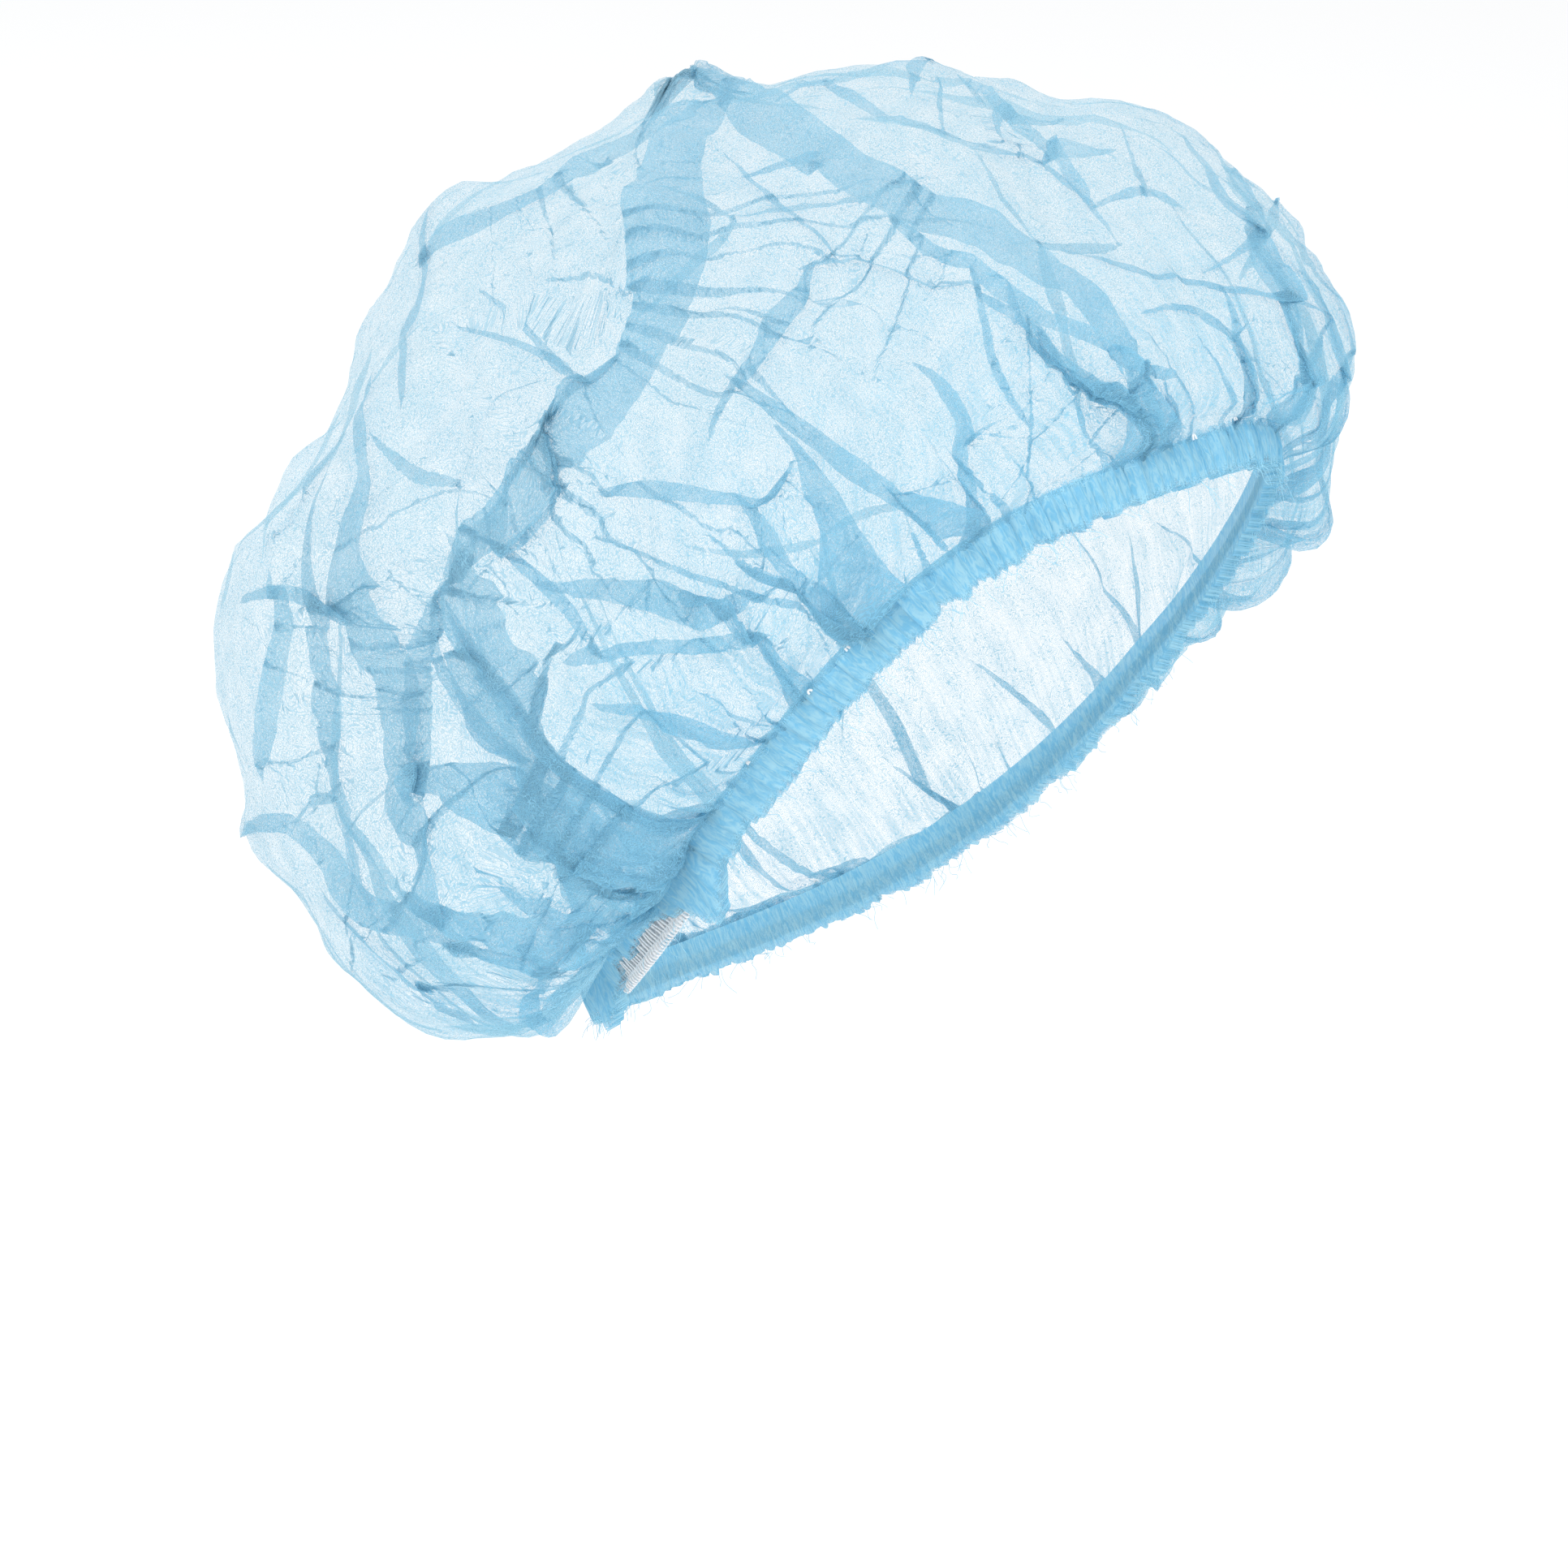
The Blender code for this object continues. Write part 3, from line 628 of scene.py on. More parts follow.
class Pleater:
    """Lays folds into a sheet: each moves the cloth across its line until it lies doubled on itself."""

    reach: float = 2.2
    least_spread: float = 0.004
    tightness: float = 0.42
    spread: float = 2.7
    pull: float = 1.18
    full_width: float = 0.002
    path_step: float = 0.006
    most_steps: int = 40

    def __init__(self, form: PuffedForm, chart: Array) -> None:
        """Start with a smooth sheet.

        Args:
            form: The form that the sheet lies on.
            chart: Flat places of the sheet's points.
        """
        self.form = form
        self.place = chart.copy()
        self.height = np.zeros(len(chart))
        self.layers = np.zeros(len(chart))

    def lay(self, path: Array, widths: Array, loft: float, lean: float) -> None:
        """Lay one fold along a path.

        Args:
            path: Flat places of the fold's line.
            widths: The doubled width at each of them, in metres on the form.
            loft: Height of the fold's crest, in metres.
            lean: 1 if the crest lies over to the left of the path, -1 to the right.
        """
        path, widths = self._rounded(path, widths)
        margin = self.reach * (self.spread * widths.max() + self.least_spread)
        scale = self.form.read(self.form.stretch, path)[:, ::2].min()
        low, high = path.min(axis=0) - margin / scale, path.max(axis=0) + margin / scale
        near = np.flatnonzero(np.all((self.place > low) & (self.place < high), axis=1))
        if not len(near):
            return
        place = self.place[near]
        radial = unit(place + 1e-9)
        around = np.stack([-radial[:, 1], radial[:, 0]], axis=1)
        long, lean_out, wide = self.form.read(self.form.stretch, place).T
        off = path[None, :, :] - place[:, None, :]
        out = off[..., 0] * radial[:, :1] + off[..., 1] * radial[:, 1:]
        beside = off[..., 0] * around[:, :1] + off[..., 1] * around[:, 1:]
        local = np.stack([out * long[:, None] + beside * lean_out[:, None], beside * wide[:, None]], axis=2)
        start, run = local[:, :-1], np.diff(local, axis=1)
        length = np.maximum((run**2).sum(axis=2), 1e-12)
        share = np.clip(-(start * run).sum(axis=2) / length, 0, 1)
        nearest = start + run * share[..., None]
        best = (nearest**2).sum(axis=2).argmin(axis=1)
        row = np.arange(len(near))
        along = (best + share[row, best]) / (len(path) - 1)
        forward = unit(run[row, best])
        side = np.stack([-forward[:, 1], forward[:, 0]], axis=1)
        across = -(nearest[row, best] * side).sum(axis=1) * lean
        beyond = np.abs((nearest[row, best] * forward).sum(axis=1))
        width = np.interp(along, np.linspace(0, 1, len(widths)), widths)
        width = width * np.exp(-((beyond / np.maximum(width, 1e-4)) ** 2))
        tight = np.maximum(self.tightness * width, 0.0003)
        ease = np.exp(-((across / (self.spread * width + self.least_spread)) ** 2))
        shift = -self.pull * width * np.tanh(across / tight) * ease * lean
        move = side * shift[:, None]
        move_round = move[:, 1] / wide
        move_out = (move[:, 0] - move_round * lean_out) / long
        self.place[near] = place + radial * move_out[:, None] + around * move_round[:, None]
        rise = smooth_step(-1.3, 1.3, across / tight)
        fall = np.exp(-((np.maximum(across, 0) / (1.6 * width + 0.0015)) ** 2))
        self.height[near] += loft * width / widths.max() * rise * fall
        doubled = np.exp(-((across / np.maximum(width, 1e-4)) ** 2))
        self.layers[near] += doubled * np.minimum(width / self.full_width, 1)

    def _rounded(self, path: Array, widths: Array) -> tuple[Array, Array]:
        """The path as a smooth line with even, short steps.

        Args:
            path: Flat places of the fold's line.
            widths: The doubled width at each of them.

        Returns:
            The smooth line and its widths.
        """
        steps = np.linalg.norm(np.diff(path, axis=0), axis=1)
        at = np.concatenate([[0], np.cumsum(steps)])
        count = max(4, min(self.most_steps, int(at[-1] / self.path_step)))
        even = np.linspace(0, at[-1], count)
        points = np.stack([catmull_rom(at, path[:, axis], even) for axis in range(2)], axis=1)
        return points, np.maximum(catmull_rom(at, widths, even), 0.0002)


def catmull_rom(at: Array, values: Array, even: Array) -> Array:
    """A smooth curve through values at known places, read at other places.

    Args:
        at: The known places, rising.
        values: The values there.
        even: The places to read.

    Returns:
        The values at those places.
    """
    slopes = np.gradient(values, at)
    slot = np.clip(np.searchsorted(at, even, side="right") - 1, 0, len(at) - 2)
    span = at[slot + 1] - at[slot]
    share = (even - at[slot]) / span
    cube, square = share**3, share**2
    start = (2 * cube - 3 * square + 1) * values[slot] + (cube - 2 * square + share) * slopes[slot] * span
    return start + (3 * square - 2 * cube) * values[slot + 1] + (cube - square) * slopes[slot + 1] * span


class Zone(NamedTuple):
    """A ring-shaped zone of the sheet: where it ends, its columns and the step between its rings."""

    to_radius: float
    columns: int
    step: float


ZONES = (
    Zone(0.016, 50, 0.0040), Zone(0.038, 100, 0.0036), Zone(0.090, 200, 0.0034), Zone(0.2593, 400, 0.0032),
)


def ring_sheet(zones: Sequence[Zone]) -> tuple[Array, list[tuple[int, ...]]]:
    """A flat round sheet of rings that get more columns outwards.

    Args:
        zones: Its zones from the middle out.

    Returns:
        The flat places of its points, and its faces.
    """
    places, faces, rings = [np.zeros(2)], [], [np.array([0])]
    radius = 0.0
    for zone in zones:
        rows = max(1, round((zone.to_radius - radius) / zone.step))
        for row in range(1, rows + 1):
            at = radius + (zone.to_radius - radius) * row / rows
            angles = np.arange(zone.columns) * 2 * math.pi / zone.columns
            first = len(places)
            places.extend(at * np.stack([np.cos(angles), np.sin(angles)], axis=1))
            rings.append(np.arange(first, first + zone.columns))
        radius = zone.to_radius
    for inner, outer in zip(rings, rings[1:]):
        faces.extend(ring_faces(inner, outer))
    return np.array(places), faces


def triangles(faces: Iterable[tuple[int, ...]]) -> Array:
    """Faces of three or four corners as triangles."""
    rows = []
    for face in faces:
        rows.extend((face[0], face[step], face[step + 1]) for step in range(1, len(face) - 1))
    return np.array(rows)


def split_edges(faces: Array, halves: dict[int, int], count: int) -> Array:
    """Triangles cut at the middles of some of their edges.

    Args:
        faces: The triangles.
        halves: The new point of each cut edge, by low point * count + high point.
        count: How many points there were.

    Returns:
        The new triangles.
    """
    rows = []
    for face in faces.tolist():
        pairs = ((face[0], face[1]), (face[1], face[2]), (face[2], face[0]))
        cuts = [halves.get(min(pair) * count + max(pair), -1) for pair in pairs]
        made = sum(cut >= 0 for cut in cuts)
        if made == 0:
            rows.append(face)
            continue
        if made == 3:
            rows += [(face[0], cuts[0], cuts[2]), (face[1], cuts[1], cuts[0]), (face[2], cuts[2], cuts[1]),
                     (cuts[0], cuts[1], cuts[2])]
            continue
        turn = next(step for step in range(3)
                    if cuts[step] >= 0 and (made == 1 or cuts[(step + 1) % 3] >= 0))
        a, b, c = (face[(turn + step) % 3] for step in range(3))
        first, second = cuts[turn], cuts[(turn + 1) % 3]
        if made == 1:
            rows += [(a, first, c), (first, b, c)]
        else:
            rows += [(first, b, second), (a, first, second), (a, second, c)]
    return np.array(rows)


def ring_faces(inner: Array, outer: Array) -> list[tuple[int, ...]]:
    """Faces between two rings.

    Args:
        inner: The inner ring's points, or the one point in the middle.
        outer: The outer ring's points: as many as the inner ring has, or twice as many.

    Returns:
        The faces.
    """
    after = np.roll(outer, -1)
    if len(inner) == 1:
        return [(int(inner[0]), int(a), int(b)) for a, b in zip(outer, after)]
    beside = np.roll(inner, -1)
    if len(inner) == len(outer):
        return [tuple(map(int, row)) for row in zip(inner, outer, after, beside)]
    faces = []
    for number, (near, next_) in enumerate(zip(inner, beside)):
        low, half = int(outer[2 * number]), int(outer[2 * number + 1])
        high = int(outer[(2 * number + 2) % len(outer)])
        faces += [(int(near), low, half), (int(near), half, int(next_)), (half, high, int(next_))]
    return faces


def mesh_piece(name: str, points: Array, faces: Iterable[Sequence[int]]) -> bpy.types.Object:
    """An object at the origin, from points and faces, shaded smooth but for its sharp creases.

    Args:
        name: The piece's name.
        points: Its points.
        faces: Its faces.

    Returns:
        The mesh object.
    """
    mesh = bpy.data.meshes.new(name)
    mesh.from_pydata(np.asarray(points, float).tolist(), [], list(faces))
    mesh.update()
    item = bpy.data.objects.new(name, mesh)
    bpy.context.scene.collection.objects.link(item)
    deselect_all()
    item.select_set(True)
    bpy.context.view_layer.objects.active = item
    bpy.ops.object.shade_smooth_by_angle(angle=math.radians(CREASE_ANGLE))
    return item


def set_point_values(item: bpy.types.Object, name: str, values: Array) -> None:
    """Store a number or a vector for each point under a name that materials read.

    Args:
        item: The piece.
        name: The name of the values.
        values: One number or vector for each point.
    """
    kind, key = ("FLOAT", "value") if values.ndim == 1 else ("FLOAT_VECTOR", "vector")
    layer = item.data.attributes.new(name, kind, "POINT")
    layer.data.foreach_set(key, np.ascontiguousarray(values, np.float32).ravel())


@dataclass
class Bag:
    """The puffed bag: the whole round sheet with its folds, pleats, crumples and gathers."""

    form: PuffedForm
    view: PhotoView
    flat_radius: float = 0.265
    most_faces: int = 190000
    growth: tuple[float, ...] = (0.42, 0.62, 0.96)
    facets: tuple[Triple, ...] = ((0.030, 4.2, 0.4), (0.012, 1.5, 2.4))
    far_stars: tuple[tuple[float, float], ...] = (
        (8, 0.60), (38, 0.34), (52, 0.66), (88, 0.52), (118, 0.30), (134, 0.62), (172, 0.48), (198, 0.68))
    sewn_from: float = 0.90
    sewn_to: float = 0.975
    side_folds: int = 26
    side_step: float = 8.6
    side_widths: tuple[float, ...] = (2.4, 3.4, 4.8, 7.0)
    side_odds: tuple[float, ...] = (0.35, 0.3, 0.22, 0.13)
    star_arms: int = 3
    pleats: int = 84
    bend_scale: float = 31.0
    bend_reach: float = 0.0075
    dent_scale: float = 26.0
    dent_height: float = 1.5
    facet_edge: float = 0.45
    gather_counts: range = range(62, 118, 4)
    gathers_rise: tuple[float, float] = (0.78, 0.97)
    gathers_end: tuple[float, float] = (0.975, 0.99)
    gather_height: float = 0.26 * MM
    seed: int = 20

    def __post_init__(self) -> None:
        """List the folds in the order that they are laid."""
        self.folds: list[tuple[Array, Array, float, float]] = []
        self._back_folds()
        self._gather_pleats()
        self._seen_folds()
        self.folds.sort(key=lambda fold: -fold[1].max())

    def build(self) -> bpy.types.Object:
        """Fold the sheet over the form, with more points where it bends most.

        Returns:
            The cloth object, with its flat places stored for its material.
        """
        flat, faces = ring_sheet(ZONES)
        faces = triangles(faces)
        points, pleated = self._shape(flat)
        for share in self.growth:
            corners = np.roll(faces, -1, axis=1)
            keys = np.unique(np.minimum(faces, corners) * len(flat) + np.maximum(faces, corners))
            low, high = keys // len(flat), keys % len(flat)
            middle = (flat[low] + flat[high]) / 2
            places, dense = self._shape(middle)
            error = np.linalg.norm(places - (points[low] + points[high]) / 2, axis=1) * self._weight(places)
            room = int((self.most_faces - len(faces)) * share / 2)
            picked = np.sort(np.argsort(-error)[:room])
            left_out = error[picked].min() / MM
            LOG.info("sheet of %d faces: bends left out are under %.2f mm", len(faces), left_out)
            halves = dict(zip(keys[picked].tolist(), range(len(flat), len(flat) + len(picked))))
            faces = split_edges(faces, halves, len(flat))
            flat = np.concatenate([flat, middle[picked]])
            points = np.concatenate([points, places[picked]])
            pleated = np.concatenate([pleated, dense[picked]])
        item = mesh_piece("puffed_bag", points, faces.tolist())
        around = np.column_stack([unit(flat) * self.flat_radius, np.linalg.norm(flat, axis=1)])
        set_point_values(item, "flat", np.column_stack([flat, np.zeros(len(flat))]))
        set_point_values(item, "around", around)
        set_point_values(item, "pleated", pleated)
        return item

    def _weight(self, places: Array) -> Array:
        """How much a bend counts: most where the cloth faces the photograph's view."""
        facing = unit(places - self.form.middle) @ self.view.axes()[2]
        return 0.55 + 0.45 * smooth_step(-0.4, 0.3, facing)

    def _shape(self, flat: Array) -> tuple[Array, Array]:
        """The sheet folded over the form.

        Args:
            flat: Places of the flat sheet.

        Returns:
            Where they lie, and how doubled the cloth is there, from 0 to 1.
        """
        pleater = Pleater(self.form, flat)
        for fold in self.folds:
            pleater.lay(*fold)
        place = pleater.place
        radius = np.linalg.norm(place, axis=1)
        cut = np.linalg.norm(flat, axis=1)
        sewn = smooth_step(self.sewn_from, self.sewn_to, cut / self.form.sheet_radius)
        held = np.minimum(radius, self.form.sheet_radius) * (1 - sewn) + cut * sewn
        place = unit(place) * held[:, None]
        hem_fade = 1 - smooth_step(0.955, 0.985, held / self.form.sheet_radius)
        height = (pleater.height + self._crumple(flat)) * hem_fade + self._gather_waves(flat)
        points = self.form.read(self.form.places, place)
        points = points + self.form.read(self.form.normals, place) * height[:, None]
        return points, np.clip(pleater.layers, 0, 1)

    def _seen_folds(self) -> None:
        """Lay the folds that the photograph shows."""
        for row in SEEN_FOLDS:
            found = [(self.form.seen_at(self.view, px, py), wide) for px, py, wide in row.path]
            past_hem = found[-1][0] is None
            found = [(place, wide) for place, wide in found if place is not None]
            if len(found) < 2:
                LOG.warning("fold %s is off the form", row.name)
                continue
            path = np.array([place for place, _ in found])
            if past_hem:
                path = self.form.to_the_hem(path)
            widths = np.array([wide for _, wide in found]) * MM
            widths = np.concatenate([widths, widths[-1:]])[:len(path)]
            self.folds.append((path, widths, row.loft * MM, row.lean.value))

    def _back_folds(self) -> None:
        """Lay folds of the same kinds round the sides that the photograph doesn't show."""
        draw = np.random.default_rng(self.seed)
        along = np.linspace(0, 1, 5)
        for number in range(self.side_folds):
            turn = (-8 + number * self.side_step + draw.uniform(-2.6, 2.6))
            reach = draw.uniform(0.16, 0.50)
            sway = draw.uniform(-16, 16)
            bend = np.sin(np.linspace(0, math.pi, 5)) * draw.uniform(-7, 7)
            turns = turn + sway * along ** 1.3 + bend
            wide = draw.choice(self.side_widths, p=self.side_odds)
            widths = wide * np.array([1.0, 0.8, 0.95, 0.5, 0.12]) * draw.uniform(0.8, 1.2, 5) * MM
            path = self._path(turns, np.linspace(1.0, 1.0 - reach, 5))
            self.folds.append((path, widths, (1.0 + 0.22 * wide) * MM, self._either_side(draw)))
        for turn, share in self.far_stars:
            middle = self._path(np.array([turn]), np.array([share]))[0]
            first = draw.uniform(0, 2 * math.pi)
            for arm in range(self.star_arms):
                heading = first + arm * 2 * math.pi / self.star_arms + draw.uniform(-0.5, 0.5)
                step = np.array((math.cos(heading), math.sin(heading)))
                aside = np.array((-step[1], step[0])) * draw.uniform(-0.2, 0.2)
                long = draw.uniform(0.028, 0.062)
                path = middle + long * (along[:, None] * step + (along * (1 - along))[:, None] * 2 * aside)
                widths = draw.uniform(1.8, 4.2) * np.array([0.5, 1.0, 0.9, 0.6, 0.12]) * MM
                lean = self._either_side(draw)
                self.folds.append((path, widths, draw.uniform(1.0, 2.0) * MM, lean))

    def _gather_pleats(self) -> None:
        """Lay the small pleats that the elastic gathers all round."""
        draw = np.random.default_rng(self.seed + 1)
        for number in range(self.pleats):
            turn = (number + draw.uniform(-0.35, 0.35)) * 360 / self.pleats
            reach = draw.uniform(0.05, 0.20) * (1.6 if draw.random() < 0.2 else 1.0)
            turns = turn + draw.uniform(-5, 5) * np.linspace(0, 1, 4)
            widths = draw.uniform(0.9, 2.0) * np.array([1.0, 0.8, 0.5, 0.12]) * MM
            path = self._path(turns, np.linspace(1.0, 1.0 - reach, 4))
            lean = self._either_side(draw)
            self.folds.append((path, widths, draw.uniform(0.5, 1.1) * MM, lean))

    def _either_side(self, draw: np.random.Generator) -> float:
        """The side that a fold lies over to, as it falls."""
        return Lean.LEFT.value if draw.random() < 0.5 else Lean.RIGHT.value

    def _path(self, turns: Array, shares: Array) -> Array:
        """Flat places from turns in degrees and shares of the way from the middle to the hem."""
        angles, radii = np.radians(turns), shares * self.form.sheet_radius
        return radii[:, None] * np.stack([np.cos(angles), np.sin(angles)], axis=1)

    def _crumple(self, flat: Array) -> Array:
        """Soft dents, and flat facets with crisp creases between them, as loose cloth crumples.

        Args:
            flat: Places of the flat sheet.

        Returns:
            The height of each above the smooth sheet.
        """
        # Vector noise shifts with the clock unless it is seeded
        noise.seed_set(self.seed)
        values = np.zeros(len(flat))
        for number, (x, y) in enumerate(flat):
            bent = noise.noise_vector(Vector((x * self.bend_scale, y * self.bend_scale, 5.3)))
            bent = bent * self.bend_reach
            dent = noise.noise(Vector((x * self.dent_scale, y * self.dent_scale, 3.1)))
            height = self.dent_height * dent
            for size, rise, layer in self.facets:
                away, cells = noise.voronoi(Vector(((x + bent.x) / size, (y + bent.y) / size, layer)))
                side = 1.0 if noise.noise(cells[0] * 7.3) > 0 else -1.0
                height += side * rise * min(away[1] - away[0], self.facet_edge)
            values[number] = height
        return values * MM

    def _gather_waves(self, flat: Array) -> Array:
        """Fine waves where the cloth is drawn together above the hem.

        Args:
            flat: Places of the flat sheet.

        Returns:
            The height of each above the smooth sheet.
        """
        draw = np.random.default_rng(self.seed + 2)
        angle = np.arctan2(flat[:, 1], flat[:, 0])
        share = np.linalg.norm(flat, axis=1) / self.form.sheet_radius
        waves = np.zeros(len(flat))
        for count in self.gather_counts:
            waves += draw.uniform(0.5, 1.0) * np.cos(count * angle + draw.uniform(0, 2 * math.pi))
        strength = smooth_step(*self.gathers_rise, share) ** 1.5
        strength = strength * (1 - smooth_step(*self.gathers_end, share))
        return self.gather_height * waves * strength


class Graph:
    """A material's node graph, built from small named steps.

    A Mix node keeps its colour sockets after those for numbers and vectors, at the places named here.
    """

    first_colour: int = 6
    second_colour: int = 7
    mixed_colour: int = 2

    def __init__(self, name: str) -> None:
        """Start a new material."""
        self.material = bpy.data.materials.new(name)
        self.material.use_nodes = True
        self.tree = self.material.node_tree
        self.tree.nodes.clear()

    def add(self, kind: str, **settings: object) -> bpy.types.Node:
        """Add a node.

        Args:
            kind: Its type.
            settings: Its properties.

        Returns:
            The node.
        """
        node = self.tree.nodes.new(kind)
        for key, value in settings.items():
            setattr(node, key, value)
        return node

    def put(self, socket: bpy.types.NodeSocket, value: object) -> None:
        """Link a socket to another, or give it a plain value.

        Args:
            socket: The socket that takes it.
            value: The other socket, or the value.
        """
        if isinstance(value, bpy.types.NodeSocket):
            self.tree.links.new(value, socket)
        else:
            socket.default_value = value

    def maths(self, operation: str, *values: object) -> bpy.types.NodeSocket:
        """A step of arithmetic.

        Args:
            operation: Which one.
            values: What goes in, in order.

        Returns:
            The result.
        """
        node = self.add("ShaderNodeMath", operation=operation)
        for socket, value in zip(node.inputs, values):
            self.put(socket, value)
        return node.outputs[0]

    def ramp(self, value: object, low: float, high: float, to_low: float = 0.0, to_high: float = 1.0,
             soft: bool = True) -> bpy.types.NodeSocket:
        """A value mapped from one range to another and held within it.

        Args:
            value: The value.
            low: The start of its range.
            high: The end of its range.
            to_low: What the start becomes.
            to_high: What the end becomes.
            soft: Whether it eases in and out.

        Returns:
            The mapped value.
        """
        node = self.add("ShaderNodeMapRange", interpolation_type="SMOOTHSTEP" if soft else "LINEAR")
        for key, item in zip(("Value", "From Min", "From Max", "To Min", "To Max"),
                             (value, low, high, to_low, to_high)):
            self.put(node.inputs[key], item)
        return node.outputs[0]

    def stored(self, name: str) -> bpy.types.Node:
        """The node that reads what the piece keeps for each point under a name."""
        return self.add("ShaderNodeAttribute", attribute_name=name, attribute_type="GEOMETRY")

    def read(self, name: str, stretch: Triple, shift: float = 0.0) -> bpy.types.NodeSocket:
        """A stored place of the cloth, stretched and shifted.

        Args:
            name: The name that it is stored under.
            stretch: How much each of its numbers is multiplied.
            shift: What is added to each.

        Returns:
            The vector.
        """
        mapping = self.add("ShaderNodeMapping")
        self.put(mapping.inputs["Vector"], self.stored(name).outputs["Vector"])
        mapping.inputs["Scale"].default_value = stretch
        mapping.inputs["Location"].default_value = (shift, shift, shift)
        return mapping.outputs[0]

    def noise(self, vector: object, scale: float, detail: float = 0.0, bent: float = 0.0,
              flat: bool = True) -> bpy.types.NodeSocket:
        """A noise value.

        Args:
            vector: The place.
            scale: How fine it is.
            detail: How many finer layers it has.
            bent: How much it is twisted.
            flat: Whether it reads two numbers of the place, and not three.

        Returns:
            The value.
        """
        node = self.add("ShaderNodeTexNoise", noise_dimensions="2D" if flat else "3D")
        self.put(node.inputs["Vector"], vector)
        node.inputs["Scale"].default_value = scale
        node.inputs["Detail"].default_value = detail
        node.inputs["Distortion"].default_value = bent
        return node.outputs["Fac"]

    def blend(self, share: object, first: object, second: object) -> bpy.types.NodeSocket:
        """A mix of two colours.

        Args:
            share: The second one's share.
            first: The first colour.
            second: The second colour.

        Returns:
            The mixed colour.
        """
        node = self.add("ShaderNodeMix", data_type="RGBA")
        self.put(node.inputs["Factor"], share)
        self.put(node.inputs[self.first_colour], first)
        self.put(node.inputs[self.second_colour], second)
        return node.outputs[self.mixed_colour]

    def shaders(self, share: object, first: object, second: object) -> bpy.types.NodeSocket:
        """A mix of two shaders.

        Args:
            share: The second one's share.
            first: The first shader.
            second: The second shader.

        Returns:
            The mixed shader.
        """
        node = self.add("ShaderNodeMixShader")
        for socket, value in zip(node.inputs, (share, first, second)):
            self.put(socket, value)
        return node.outputs[0]

    def close(self, shader: object) -> bpy.types.Material:
        """Send the shader to the surface and give the material."""
        self.put(self.add("ShaderNodeOutputMaterial").inputs["Surface"], shader)
        return self.material


@dataclass(frozen=True)
class NonwovenFinish:
    """Spunbond nonwoven: a web of fine curled fibres, open between them, drawn into streaks at gathers."""

    name: str = "nonwoven"
    fibre: Colour = (0.38, 0.64, 0.77, 1.0)
    # The second colour is painted shade: the deeper blue that stacked layers of cloth show as light soaks
    # through them.
    deep_shade: Colour = (0.28, 0.63, 0.81, 1.0)
    open_share: float = 0.17
    web_share: float = 0.52
    streak_share: float = 0.26
    curl: float = 0.62
    second_curl: float = 0.83
    lines: float = 6.0
    line_edges: tuple[float, float] = (0.03, 0.17)
    cloud_size: float = 0.13
    cloud_share: tuple[float, float] = (0.82, 1.18)
    streak_stretch: Triple = (560.0, 560.0, 42.0)
    gathers_from: float = 0.165
    gathers_to: float = 0.250
    doubled_share: float = 0.06
    most_cover: float = 0.96
    through_share: float = 0.45

    def build(self) -> bpy.types.Material:
        """Make the material.

        Returns:
            The material, which reads the cloth's stored flat places.
        """
        graph = Graph(self.name)
        in_mm = (1000.0, 1000.0, 1000.0)
        flat = graph.read("flat", in_mm)
        aside = graph.read("flat", in_mm, 57.0)
        webs = []
        for vector, scale in ((flat, self.curl), (aside, self.curl * self.second_curl)):
            field = graph.noise(vector, scale)
            wave = graph.maths("PINGPONG", graph.maths("MULTIPLY", field, self.lines), 0.5)
            webs.append(graph.ramp(wave, *self.line_edges, 1.0, 0.0))
        web = graph.maths("MAXIMUM", *webs)
        clouds = graph.noise(flat, self.cloud_size)
        drawn = graph.read("around", self.streak_stretch)
        streaks = graph.ramp(graph.noise(drawn, 1.0, 1.0, 0.0, False), 0.42, 0.62)
        split = graph.add("ShaderNodeSeparateXYZ")
        graph.put(split.inputs[0], graph.stored("around").outputs["Vector"])
        near_hem = graph.ramp(split.outputs["Z"], self.gathers_from, self.gathers_to)
        streaks = graph.maths("MULTIPLY", streaks, near_hem)
        cover = graph.maths("MULTIPLY_ADD", web, self.web_share, self.open_share)
        cover = graph.maths("MULTIPLY_ADD", streaks, self.streak_share, cover)
        cover = graph.maths("MULTIPLY", cover, graph.ramp(clouds, 0.3, 0.7, *self.cloud_share, False))
        pleated = graph.stored("pleated").outputs["Fac"]
        cover = graph.maths("MULTIPLY_ADD", pleated, self.doubled_share, cover)
        cover = graph.maths("MINIMUM", cover, self.most_cover)
        # Painted shade: the colour deepens where folds lie doubled and towards the gathered hem, as light
        # soaks through stacked layers.
        tone = graph.maths("MULTIPLY_ADD", near_hem, 0.45, graph.maths("MULTIPLY", pleated, 0.35))
        colour = graph.blend(tone, self.fibre, self.deep_shade)
        cloth = graph.add("ShaderNodeBsdfPrincipled")
        graph.put(cloth.inputs["Base Color"], colour)
        cloth.inputs["Roughness"].default_value = 0.62
        cloth.inputs["Specular IOR Level"].default_value = 0.35
        through = graph.add("ShaderNodeBsdfTranslucent")
        graph.put(through.inputs["Color"], colour)
        body = graph.shaders(self.through_share, cloth.outputs[0], through.outputs[0])
        clear = graph.add("ShaderNodeBsdfTransparent")
        return graph.close(graph.shaders(cover, clear.outputs[0], body))


